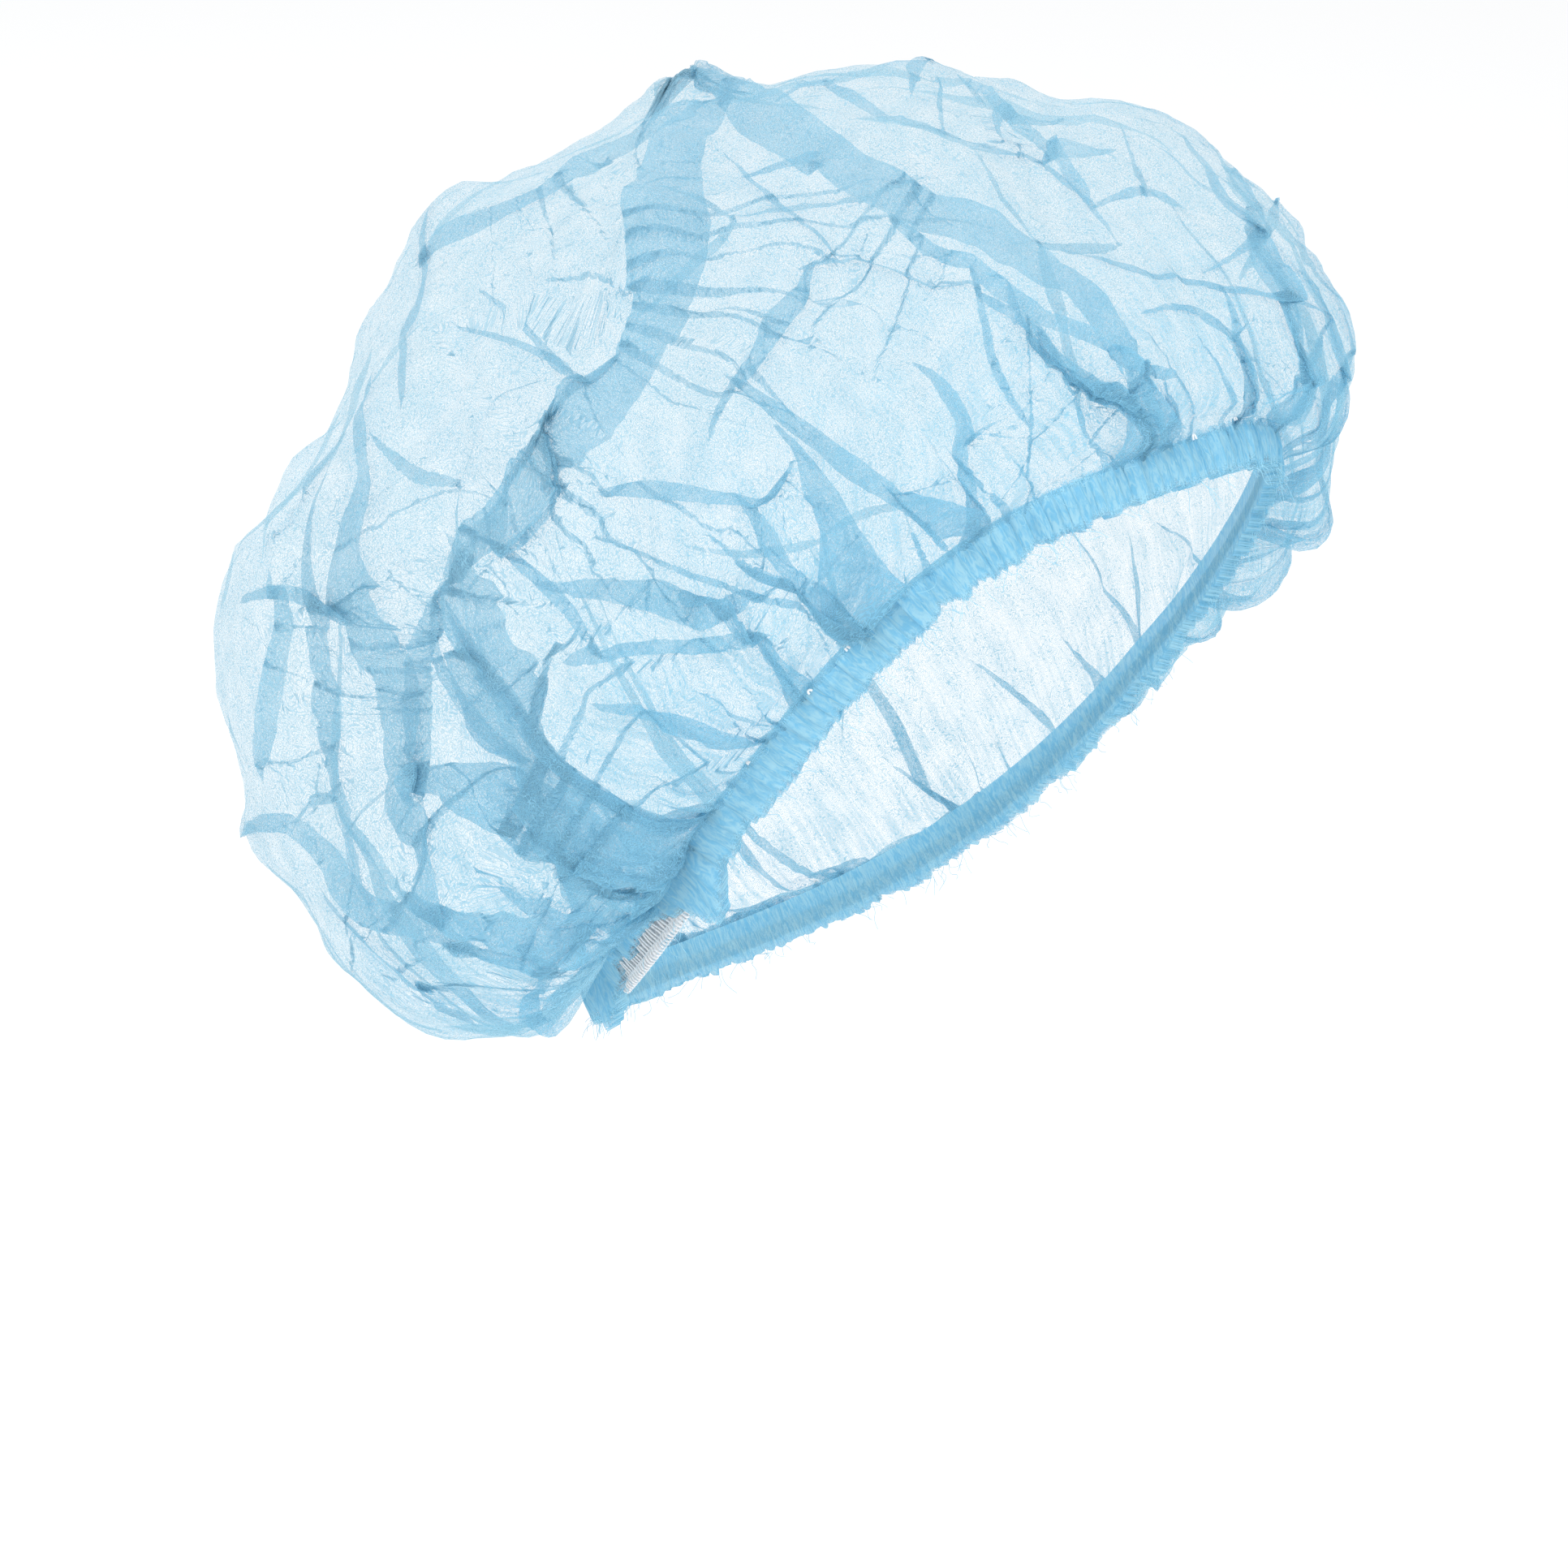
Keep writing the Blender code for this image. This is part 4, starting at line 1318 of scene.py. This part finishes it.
@dataclass(frozen=True)
class HemFinish:
    """The same cloth gathered several layers deep: dense, streaked across, and nearly closed."""

    name: str = "hem_nonwoven"
    # Painted light on the ruffles: the pale colour is painted highlight on streaks the bump raises, the deep
    # colour painted shade on sunken ones.
    pale_highlight: Colour = (0.45, 0.77, 0.90, 1.0)
    deep_shade: Colour = (0.20, 0.58, 0.83, 1.0)
    streak_stretch: Triple = (1500.0, 1500.0, 330.0)
    fuzz_stretch: Triple = (3600.0, 3600.0, 2800.0)
    most_cover: float = 0.93
    through_share: float = 0.35

    def build(self) -> bpy.types.Material:
        """Make the material.

        Returns:
            The material.
        """
        graph = Graph(self.name)
        drawn = graph.read("around", self.streak_stretch)
        streaks = graph.noise(drawn, 1.0, 3.0, 1.2, False)
        fuzz = graph.noise(graph.read("around", self.fuzz_stretch), 1.0, 1.0, 0.0, False)
        # Painted highlight and shade: raised streaks come out pale and sunken ones deep, over a fine random
        # fuzz of tone.
        tone = graph.maths("MULTIPLY_ADD", fuzz, 0.35, graph.ramp(streaks, 0.34, 0.68, 0.0, 0.8))
        colour = graph.blend(tone, self.deep_shade, self.pale_highlight)
        edge = graph.stored("edge").outputs["Fac"]
        open_ = graph.ramp(graph.maths("MULTIPLY_ADD", streaks, 0.6, fuzz), 0.72, 0.92, 0.95, 0.15)
        cover = graph.maths("SUBTRACT", self.most_cover, graph.maths("MULTIPLY", edge, open_))
        cloth = graph.add("ShaderNodeBsdfPrincipled")
        graph.put(cloth.inputs["Base Color"], colour)
        cloth.inputs["Roughness"].default_value = 0.7
        cloth.inputs["Specular IOR Level"].default_value = 0.3
        bump = graph.add("ShaderNodeBump")
        bump.inputs["Strength"].default_value = 0.5
        bump.inputs["Distance"].default_value = 0.0004
        graph.put(bump.inputs["Height"], streaks)
        graph.put(cloth.inputs["Normal"], bump.outputs[0])
        through = graph.add("ShaderNodeBsdfTranslucent")
        graph.put(through.inputs["Color"], colour)
        body = graph.shaders(self.through_share, cloth.outputs[0], through.outputs[0])
        clear = graph.add("ShaderNodeBsdfTransparent")
        return graph.close(graph.shaders(cover, clear.outputs[0], body))


@dataclass(frozen=True)
class ThreadFinish:
    """Matt white thread with a fine twist."""

    name: str = "white_thread"
    light: Colour = (0.93, 0.94, 0.95, 1.0)
    shade: Colour = (0.74, 0.78, 0.82, 1.0)
    scale: float = 2200.0

    def build(self) -> bpy.types.Material:
        """Make the material.

        Returns:
            The material.
        """
        graph = Graph(self.name)
        where = graph.add("ShaderNodeTexCoord").outputs["Object"]
        twist = graph.noise(where, self.scale, 1.0, 0.0, False)
        colour = graph.blend(graph.ramp(twist, 0.35, 0.65), self.shade, self.light)
        thread = graph.add("ShaderNodeBsdfPrincipled")
        graph.put(thread.inputs["Base Color"], colour)
        thread.inputs["Roughness"].default_value = 0.6
        bump = graph.add("ShaderNodeBump")
        bump.inputs["Strength"].default_value = 0.5
        bump.inputs["Distance"].default_value = 0.0001
        graph.put(bump.inputs["Height"], twist)
        graph.put(thread.inputs["Normal"], bump.outputs[0])
        return graph.close(thread.outputs[0])


BLUE_FIBRE = ThreadFinish("blue_fibre", (0.42, 0.74, 0.88, 1.0), (0.30, 0.66, 0.86, 1.0))
# The elastic is painted grey, darker than its own white: painted shade in the gaps between the overlock
# loops.
ELASTIC_IN_PAINTED_SHADE = ThreadFinish("elastic_painted_shade", (0.74, 0.77, 0.80, 1.0), (0.50, 0.56, 0.62, 1.0), 1500.0)


class OpeningLine:
    """The line that the cap's lower edge follows, read from the frame's elastic at any fineness."""

    corners: int = 4
    gap: float = 0.0003
    foot_rise: float = 0.0009

    def __init__(self, elastic: bpy.types.Object) -> None:
        """Read the line.

        Args:
            elastic: The frame's elastic_band node.
        """
        axes = OpeningAxes().matrix()
        places = np.unique(np.round([vert.co[:] for vert in elastic.data.vertices], 6), axis=0)
        local = places @ axes.T
        order = np.argsort(np.mod(np.degrees(np.arctan2(local[:, 1], local[:, 0])) + 1.0, 360))
        rows = places[order].reshape(-1, self.corners, 3)
        foot, away, up = [], [], []
        for row in rows:
            level = np.argsort(row @ axes[2])
            low, high = row[level[:2]], row[level[2:]]
            inner, outer = low[np.argsort(np.linalg.norm(low - (low @ axes[2])[:, None] * axes[2], axis=1))]
            top = high[np.argmin(np.linalg.norm(high - (high @ axes[2])[:, None] * axes[2], axis=1))]
            foot.append(inner)
            away.append(outer - inner)
            up.append(top - inner)
        self.away, self.up = unit(np.array(away)), unit(np.array(up))
        self.seat = np.array(foot) - self.away * self.gap - self.up * self.foot_rise

    def at(self, turns: Array, out: Array, up: Array, along: Array | float = 0.0) -> Array:
        """Points near the line.

        Args:
            turns: Turns round the opening, in degrees.
            out: Their distances off the wearer.
            up: Their heights above the lower edge.
            along: Their shifts along the line.

        Returns:
            The points.
        """
        seat, away, rise = (self._read(grid, turns) for grid in (self.seat, self.away, self.up))
        away, rise = unit(away), unit(rise)
        run = np.cross(rise, away)
        out, up, along = np.broadcast_arrays(out, up, along)
        return seat + away * out[..., None] + rise * up[..., None] + run * along[..., None]

    def _read(self, grid: Array, turns: Array) -> Array:
        """A closed line's values at any turns, from its waves.

        Args:
            grid: Its values at even turns.
            turns: The turns to read, in degrees.

        Returns:
            One row of values for each turn.
        """
        waves = np.fft.rfft(grid, axis=0) / len(grid)
        number = np.arange(len(waves))
        weight = np.where((number == 0) | (number == len(grid) // 2), 1.0, 2.0)
        phase = np.exp(1j * np.radians(np.asarray(turns))[:, None] * number[None, :])
        return np.real(phase * weight @ waves)


class Waves(NamedTuple):
    """The fewest waves in the whole round, and one more than the most."""

    low: int
    high: int


class Arch(NamedTuple):
    """A base and a rise over it that follows part of a half wave."""

    base: float
    rise: float
    start: float
    run: float

    def at(self, share: float) -> float:
        """The height at a share of the way."""
        return self.base + self.rise * math.sin(math.pi * (self.start + self.run * share))


def wave_noise(turns: Array, waves: Waves, draw: np.random.Generator) -> Array:
    """Irregular waves round the opening, about 1 high.

    Args:
        turns: Turns in degrees.
        waves: How many waves there are in the round.
        draw: The source of chance.

    Returns:
        The height at each turn.
    """
    angle = np.radians(turns)
    total = np.zeros(len(turns))
    for count in range(*waves):
        total += draw.uniform(0.3, 1.0) * np.cos(count * angle + draw.uniform(0, 2 * math.pi))
    return total / np.abs(total).max()


def bump_at(turns: Array, at: float, span: float) -> Array:
    """A smooth rise from 0 to 1 at one turn, over a span on each side of it."""
    off = np.abs((turns - at + 180) % 360 - 180) / span
    return smooth_step(0, 1, np.clip(1 - off, 0, 1))


@dataclass
class Hem:
    """The gathered hem: cloth folded over the elastic, drawn into fine ruffles with a toothed edge."""

    line: OpeningLine
    height: float = 0.0086
    stand_off: float = 0.0014
    inside: float = 0.00012
    wall: float = 0.0020
    inside_fray: float = 0.15
    ruffle: float = 0.00105
    columns: int = 1800
    bare_turn: float = 243.0
    bare_span: float = 13.0
    bare_raise: float = 0.0046
    flap_past: float = 3.0
    upper_flap_span: float = 5.0
    lower_flap_span: float = 6.0
    lower_flap_share: float = 0.6
    flap_length: float = 0.0060
    flap_flare: float = 0.0055
    flap_curl: float = 1.6
    flap_turn_in: float = 12.0
    broad_waves: Waves = Waves(34, 110)
    fine_waves: Waves = Waves(110, 260)
    sway_waves: Waves = Waves(60, 200)
    slow_waves: Waves = Waves(14, 70)
    tooth_waves: Waves = Waves(110, 380)
    rim_waves: Waves = Waves(60, 220)
    broad_depth: float = 0.8
    fine_depth: float = 0.5
    slow_depth: float = 1.35
    tooth_depth: float = 0.9
    edge_drop: float = 0.8
    rim_depth: float = 0.8
    ruffle_depth: float = 1.35
    sway_depth: float = 1.1
    swell: Arch = Arch(0.25, 0.75, 0.12, 0.7)
    bulge: Arch = Arch(0.65, 0.4, 0.1, 0.68)
    outside_rows: int = 11
    edge_frays_from: float = 0.84
    top_frays_to: float = 0.22
    top_fray: float = 0.9
    inside_shares: tuple[float, ...] = (0.0, 0.35, 0.75, 1.0)
    inside_height: float = 0.9
    shell: float = 0.085
    seed: int = 5

    def build(self) -> bpy.types.Object:
        """Make the hem from its top outside, down to its edge, and up again inside.

        Returns:
            The hem object.
        """
        draw = np.random.default_rng(self.seed)
        turns = np.arange(self.columns) * 360 / self.columns
        ruffle = self.broad_depth * wave_noise(turns, self.broad_waves, draw)
        ruffle = ruffle + self.fine_depth * wave_noise(turns, self.fine_waves, draw)
        sway = wave_noise(turns, self.sway_waves, draw)
        slow = wave_noise(turns, self.slow_waves, draw)
        teeth = wave_noise(turns, self.tooth_waves, draw)
        rim = wave_noise(turns, self.rim_waves, draw)
        bare = np.clip(2 * bump_at(turns, self.bare_turn, self.bare_span), 0, 1)
        past = self.bare_span + self.flap_past
        upper = bump_at(turns, self.bare_turn + past, self.upper_flap_span)
        lower = bump_at(turns, self.bare_turn - past, self.lower_flap_span)
        flap = upper + self.lower_flap_share * lower
        low = -self.ruffle * (self.slow_depth * slow + self.tooth_depth * teeth + self.edge_drop)
        low = low + self.bare_raise * bare - self.flap_length * flap
        high = self.height + self.ruffle * self.rim_depth * rim
        rows = []
        for share in np.linspace(0, 1, self.outside_rows):
            up = high + (low - high) * share
            swell = self.swell.at(share)
            out = self.stand_off + self.wall * self.bulge.at(share)
            out = out + self.ruffle * self.ruffle_depth * ruffle * swell
            out = out + self.flap_flare * flap * share**self.flap_curl
            fray = smooth_step(self.edge_frays_from, 1.0, np.array(share))
            fray = fray + self.top_fray * (1 - smooth_step(0.0, self.top_frays_to, np.array(share)))
            rows.append((out, up, self.ruffle * self.sway_depth * sway * swell, fray))
        for share in self.inside_shares:
            up = low + (self.height * self.inside_height - low) * share
            out = self.inside + self.flap_flare * flap * (1 - share) ** self.flap_turn_in
            along = self.ruffle * self.sway_depth * sway * (1 - share)
            rows.append((out, up, along, self.inside_fray * (1 - share)))
        points = np.concatenate([self.line.at(turns, out, up, along) for out, up, along, _ in rows])
        rings = [np.arange(self.columns) + row * self.columns for row in range(len(rows))]
        faces = [face for inner, outer in zip(rings, rings[1:]) for face in ring_faces(inner, outer)]
        item = mesh_piece("hem_cloth", points, faces)
        angle = np.radians(turns)
        ring = self.shell * np.stack([np.cos(angle), np.sin(angle)], axis=1)
        around = np.concatenate([np.column_stack([ring, np.broadcast_to(up, angle.shape)])
                                 for _, up, _, _ in rows])
        set_point_values(item, "around", around)
        edge = np.concatenate([np.full(self.columns, fray) for *_, fray in rows])
        set_point_values(item, "edge", edge)
        return item


def thread_piece(name: str, lines: Sequence[Array], thickness: float,
                 roundness: int = 1) -> bpy.types.Object:
    """Round threads along lines, as one mesh.

    Args:
        name: The piece's name.
        lines: Points of each thread.
        thickness: Their diameter.
        roundness: How finely their section is rounded.

    Returns:
        The mesh object.
    """
    deselect_all()
    curve = bpy.data.curves.new(name, "CURVE")
    curve.dimensions = "3D"
    curve.bevel_depth = thickness / 2
    curve.bevel_resolution = roundness
    curve.resolution_u = 3
    curve.use_fill_caps = True
    for line in lines:
        spline = curve.splines.new("NURBS")
        spline.points.add(len(line) - 1)
        spline.points.foreach_set("co", np.column_stack([line, np.ones(len(line))]).ravel())
        spline.order_u = 3
        spline.use_endpoint_u = True
    item = bpy.data.objects.new(name, curve)
    bpy.context.scene.collection.objects.link(item)
    item.select_set(True)
    bpy.context.view_layer.objects.active = item
    bpy.ops.object.convert(target="MESH")
    return bpy.context.object


# One loop over the elastic: sideways, whether it slants, distance off, share of its height, drop
LOOP = (
    (-1.0, 0, 0.0016, 0.0, 0.0002), (-0.8, 0, 0.0019, 0.5, 0.0), (-0.5, 1, 0.0019, 0.92, 0.0),
    (0.0, 1, 0.0021, 1.0, 0.0), (0.5, 1, 0.0019, 0.9, 0.0), (0.7, 0, 0.0019, 0.45, 0.0),
    (1.0, 0, 0.0017, 0.0, 0.0002),
)


@dataclass
class Stitching:
    """White overlock thread: a ladder of loops over the bare elastic, and specks of it along the hem."""

    line: OpeningLine
    bare_turn: float = 243.0
    bare_half: float = 12.0
    pitch: float = 1.45
    thread: float = 0.00050
    rise: float = 0.0050
    loop_half: float = 0.30
    strands: int = 2
    strand_points: int = 180
    winds: int = 17
    cord_out: float = 0.0012
    cord_up: float = -0.0001
    wind_out: float = 0.0009
    wind_up: float = 0.0012
    specks: int = 22
    speck_room: float = 4.0
    speck_rise: tuple[float, float] = (0.0072, 0.0092)
    speck_width: tuple[float, float] = (0.25, 0.6)
    speck_out: float = 0.0041
    speck_height: float = 0.0008
    seed: int = 9

    def build(self) -> bpy.types.Object:
        """Make the stitches.

        Returns:
            The stitches, as one object.
        """
        draw = np.random.default_rng(self.seed)
        lines = []
        start = self.bare_turn - self.bare_half
        count = int(2 * self.bare_half / self.pitch)
        for number in range(count):
            turn = start + (number + 0.5) * self.pitch + draw.uniform(-0.15, 0.15)
            lines.append(self._ladder(turn, draw))
        lines.extend(self._edge_cord(draw))
        lines.extend(self._specks(draw))
        return thread_piece("overlock_stitches", lines, self.thread)

    def _ladder(self, turn: float, draw: np.random.Generator) -> Array:
        """One loop over the elastic, up to the cloth and back down.

        Args:
            turn: Where it lies, in degrees.
            draw: The source of chance.

        Returns:
            Its points.
        """
        half = self.pitch * self.loop_half
        slant = draw.uniform(-0.35, 0.35)
        high = self.rise * draw.uniform(0.85, 1.1)
        side, slants, out, share, drop = np.array(LOOP).T
        return self.line.at(turn + (side * half + slants * slant), out, high * share - drop)

    def _edge_cord(self, draw: np.random.Generator) -> list[Array]:
        """The dense cord of loops along the elastic's lower edge.

        Args:
            draw: The source of chance.

        Returns:
            Its strands.
        """
        lines = []
        start, end = self.bare_turn - self.bare_half, self.bare_turn + self.bare_half
        for strand in range(self.strands):
            turns = np.linspace(start, end, self.strand_points)
            phase = strand * 2 * math.pi / self.strands + draw.uniform(-0.4, 0.4)
            wind = np.linspace(0, 2 * math.pi * self.winds, self.strand_points) + phase
            out = self.cord_out + self.wind_out * np.cos(wind)
            lines.append(self.line.at(turns, out, self.cord_up + self.wind_up * np.sin(wind)))
        return lines

    def _specks(self, draw: np.random.Generator) -> list[Array]:
        """Tiny loops of thread that show along the hem's top.

        Args:
            draw: The source of chance.

        Returns:
            The loops.
        """
        lines = []
        across, rises = np.array((-0.6, -0.5, 0.0, 0.5, 0.6)), np.array((-0.6, 0.5, 1.0, 0.5, -0.6))
        for _ in range(self.specks):
            turn = draw.uniform(0, 360)
            if abs(turn - self.bare_turn) < self.bare_half + self.speck_room:
                continue
            rise = draw.uniform(*self.speck_rise)
            turns = turn + draw.uniform(*self.speck_width) * across
            up = rise + self.speck_height * rises * draw.uniform(0.5, 1.2)
            lines.append(self.line.at(turns, np.full(len(turns), self.speck_out), up))
        return lines


@dataclass
class LooseFibres:
    """Hair-thin ends of fibre that stick out along the hem's cut edge and its top."""

    line: OpeningLine
    count: int = 460
    thread: float = 0.00010
    reach: float = 0.0030
    bend_share: float = 0.42
    edge_up: tuple[float, float] = (-0.0014, 0.0006)
    edge_out: tuple[float, float] = (0.0012, 0.0034)
    top_up: tuple[float, float] = (0.0060, 0.0086)
    top_out: tuple[float, float] = (0.0030, 0.0040)
    seed: int = 14

    def build(self) -> bpy.types.Object:
        """Make the fibres.

        Returns:
            The fibres, as one object.
        """
        draw = np.random.default_rng(self.seed)
        lines = []
        for number in range(self.count):
            turn = draw.uniform(0, 360)
            at_edge = number % 4 > 0
            up = draw.uniform(*(self.edge_up if at_edge else self.top_up))
            out = draw.uniform(*(self.edge_out if at_edge else self.top_out))
            bend = draw.normal(0, 1, (3, 3)) * self.reach * self.bend_share
            bend[:, 1] = np.abs(bend[:, 1]) * (0.5 if at_edge else 0.9)
            bend[:, 2] = -np.abs(bend[:, 2]) if at_edge else bend[:, 2]
            steps = np.concatenate([np.zeros((1, 3)), np.cumsum(bend, axis=0)])
            lines.append(self.line.at(np.full(4, turn), out + steps[:, 1], up + steps[:, 2], steps[:, 0]))
        return thread_piece("loose_fibres", lines, self.thread, 0)


@dataclass
class Studio:
    """A plain pale floor below the cap, a pale surround, and large soft lamps."""

    floor_drop: float = 0.42
    floor_side: float = 16.0
    paper: Colour = (0.94, 0.945, 0.95, 1.0)
    surround: float = 0.93

    def build(self) -> None:
        """Make the floor, the surround and the lamps."""
        deselect_all()
        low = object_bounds()[0]
        bpy.ops.mesh.primitive_plane_add(size=self.floor_side, location=(0, 0, low.z - self.floor_drop))
        floor = bpy.context.object
        floor.name = "floor"
        graph = Graph("paper")
        paper = graph.add("ShaderNodeBsdfPrincipled")
        paper.inputs["Base Color"].default_value = self.paper
        paper.inputs["Roughness"].default_value = 0.9
        paper.inputs["Specular IOR Level"].default_value = 0.0
        floor.data.materials.append(graph.close(paper.outputs[0]))
        floor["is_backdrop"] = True
        world = bpy.data.worlds.new("surround")
        bpy.context.scene.world = world
        world.use_nodes = True
        background = world.node_tree.nodes["Background"]
        background.inputs["Color"].default_value = (1.0, 1.0, 1.0, 1.0)
        background.inputs["Strength"].default_value = self.surround
        self._lamp("key", (-2.0, -1.0, 1.7), 1.2, 24.0)
        self._lamp("fill", (0.2, -2.4, 0.7), 1.8, 10.0)
        self._lamp("rim", (1.0, 1.8, 1.6), 1.2, 10.0)
        scene = bpy.context.scene
        scene.view_settings.view_transform = "Standard"
        scene.view_settings.look = "None"
        scene.cycles.transparent_max_bounces = 40
        scene.cycles.max_bounces = 5
        scene.cycles.diffuse_bounces = 2

    def _lamp(self, name: str, place: Triple, size: float, power: float) -> None:
        """A square lamp that faces the cap.

        Args:
            name: Its name.
            place: Where it hangs.
            size: Its side, in metres.
            power: Its power, in watts.
        """
        deselect_all()
        turned = Vector(place).to_track_quat("Z", "Y").to_euler()
        bpy.ops.object.light_add(type="AREA", location=place, rotation=turned)
        lamp = bpy.context.object
        lamp.name = name
        lamp.data.size = size
        lamp.data.energy = power


def dress(item: bpy.types.Object, material: bpy.types.Material) -> None:
    """Give a new piece its material, and let it ride on the cap.

    Args:
        item: The piece.
        material: Its material.
    """
    item.data.materials.clear()
    item.data.materials.append(material)
    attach(item, "root")
    LOG.info("%s: %d faces", item.name, len(item.data.polygons))


def main() -> None:
    """Build the cap's looks around the frame."""
    logging.basicConfig(level=logging.INFO, format="%(message)s")
    for item in list(bpy.data.objects):
        bpy.data.objects.remove(item)
    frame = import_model()
    view = PhotoView()
    view.build()
    line = OpeningLine(frame["nodes"]["elastic_band"])
    form = PuffedForm(frame["nodes"]["crown"])
    form.fit_outline(view)
    form.tuck_under(line)
    bag = Bag(form, view).build()
    dress(bag, NonwovenFinish().build())
    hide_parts("crown")
    hem = Hem(line).build()
    dress(hem, HemFinish().build())
    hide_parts("gathered_hem")
    stitches = Stitching(line).build()
    dress(stitches, ThreadFinish().build())
    fibres = LooseFibres(line).build()
    dress(fibres, BLUE_FIBRE.build())
    elastic = frame["nodes"]["elastic_band"]
    # Its grey finish is painted shade between the overlock loops.
    elastic.data.materials.clear()
    elastic.data.materials.append(ELASTIC_IN_PAINTED_SHADE.build())
    Studio().build()
    LOG.info("%s: dressed", elastic.name)


if __name__ == "__main__":
    main()
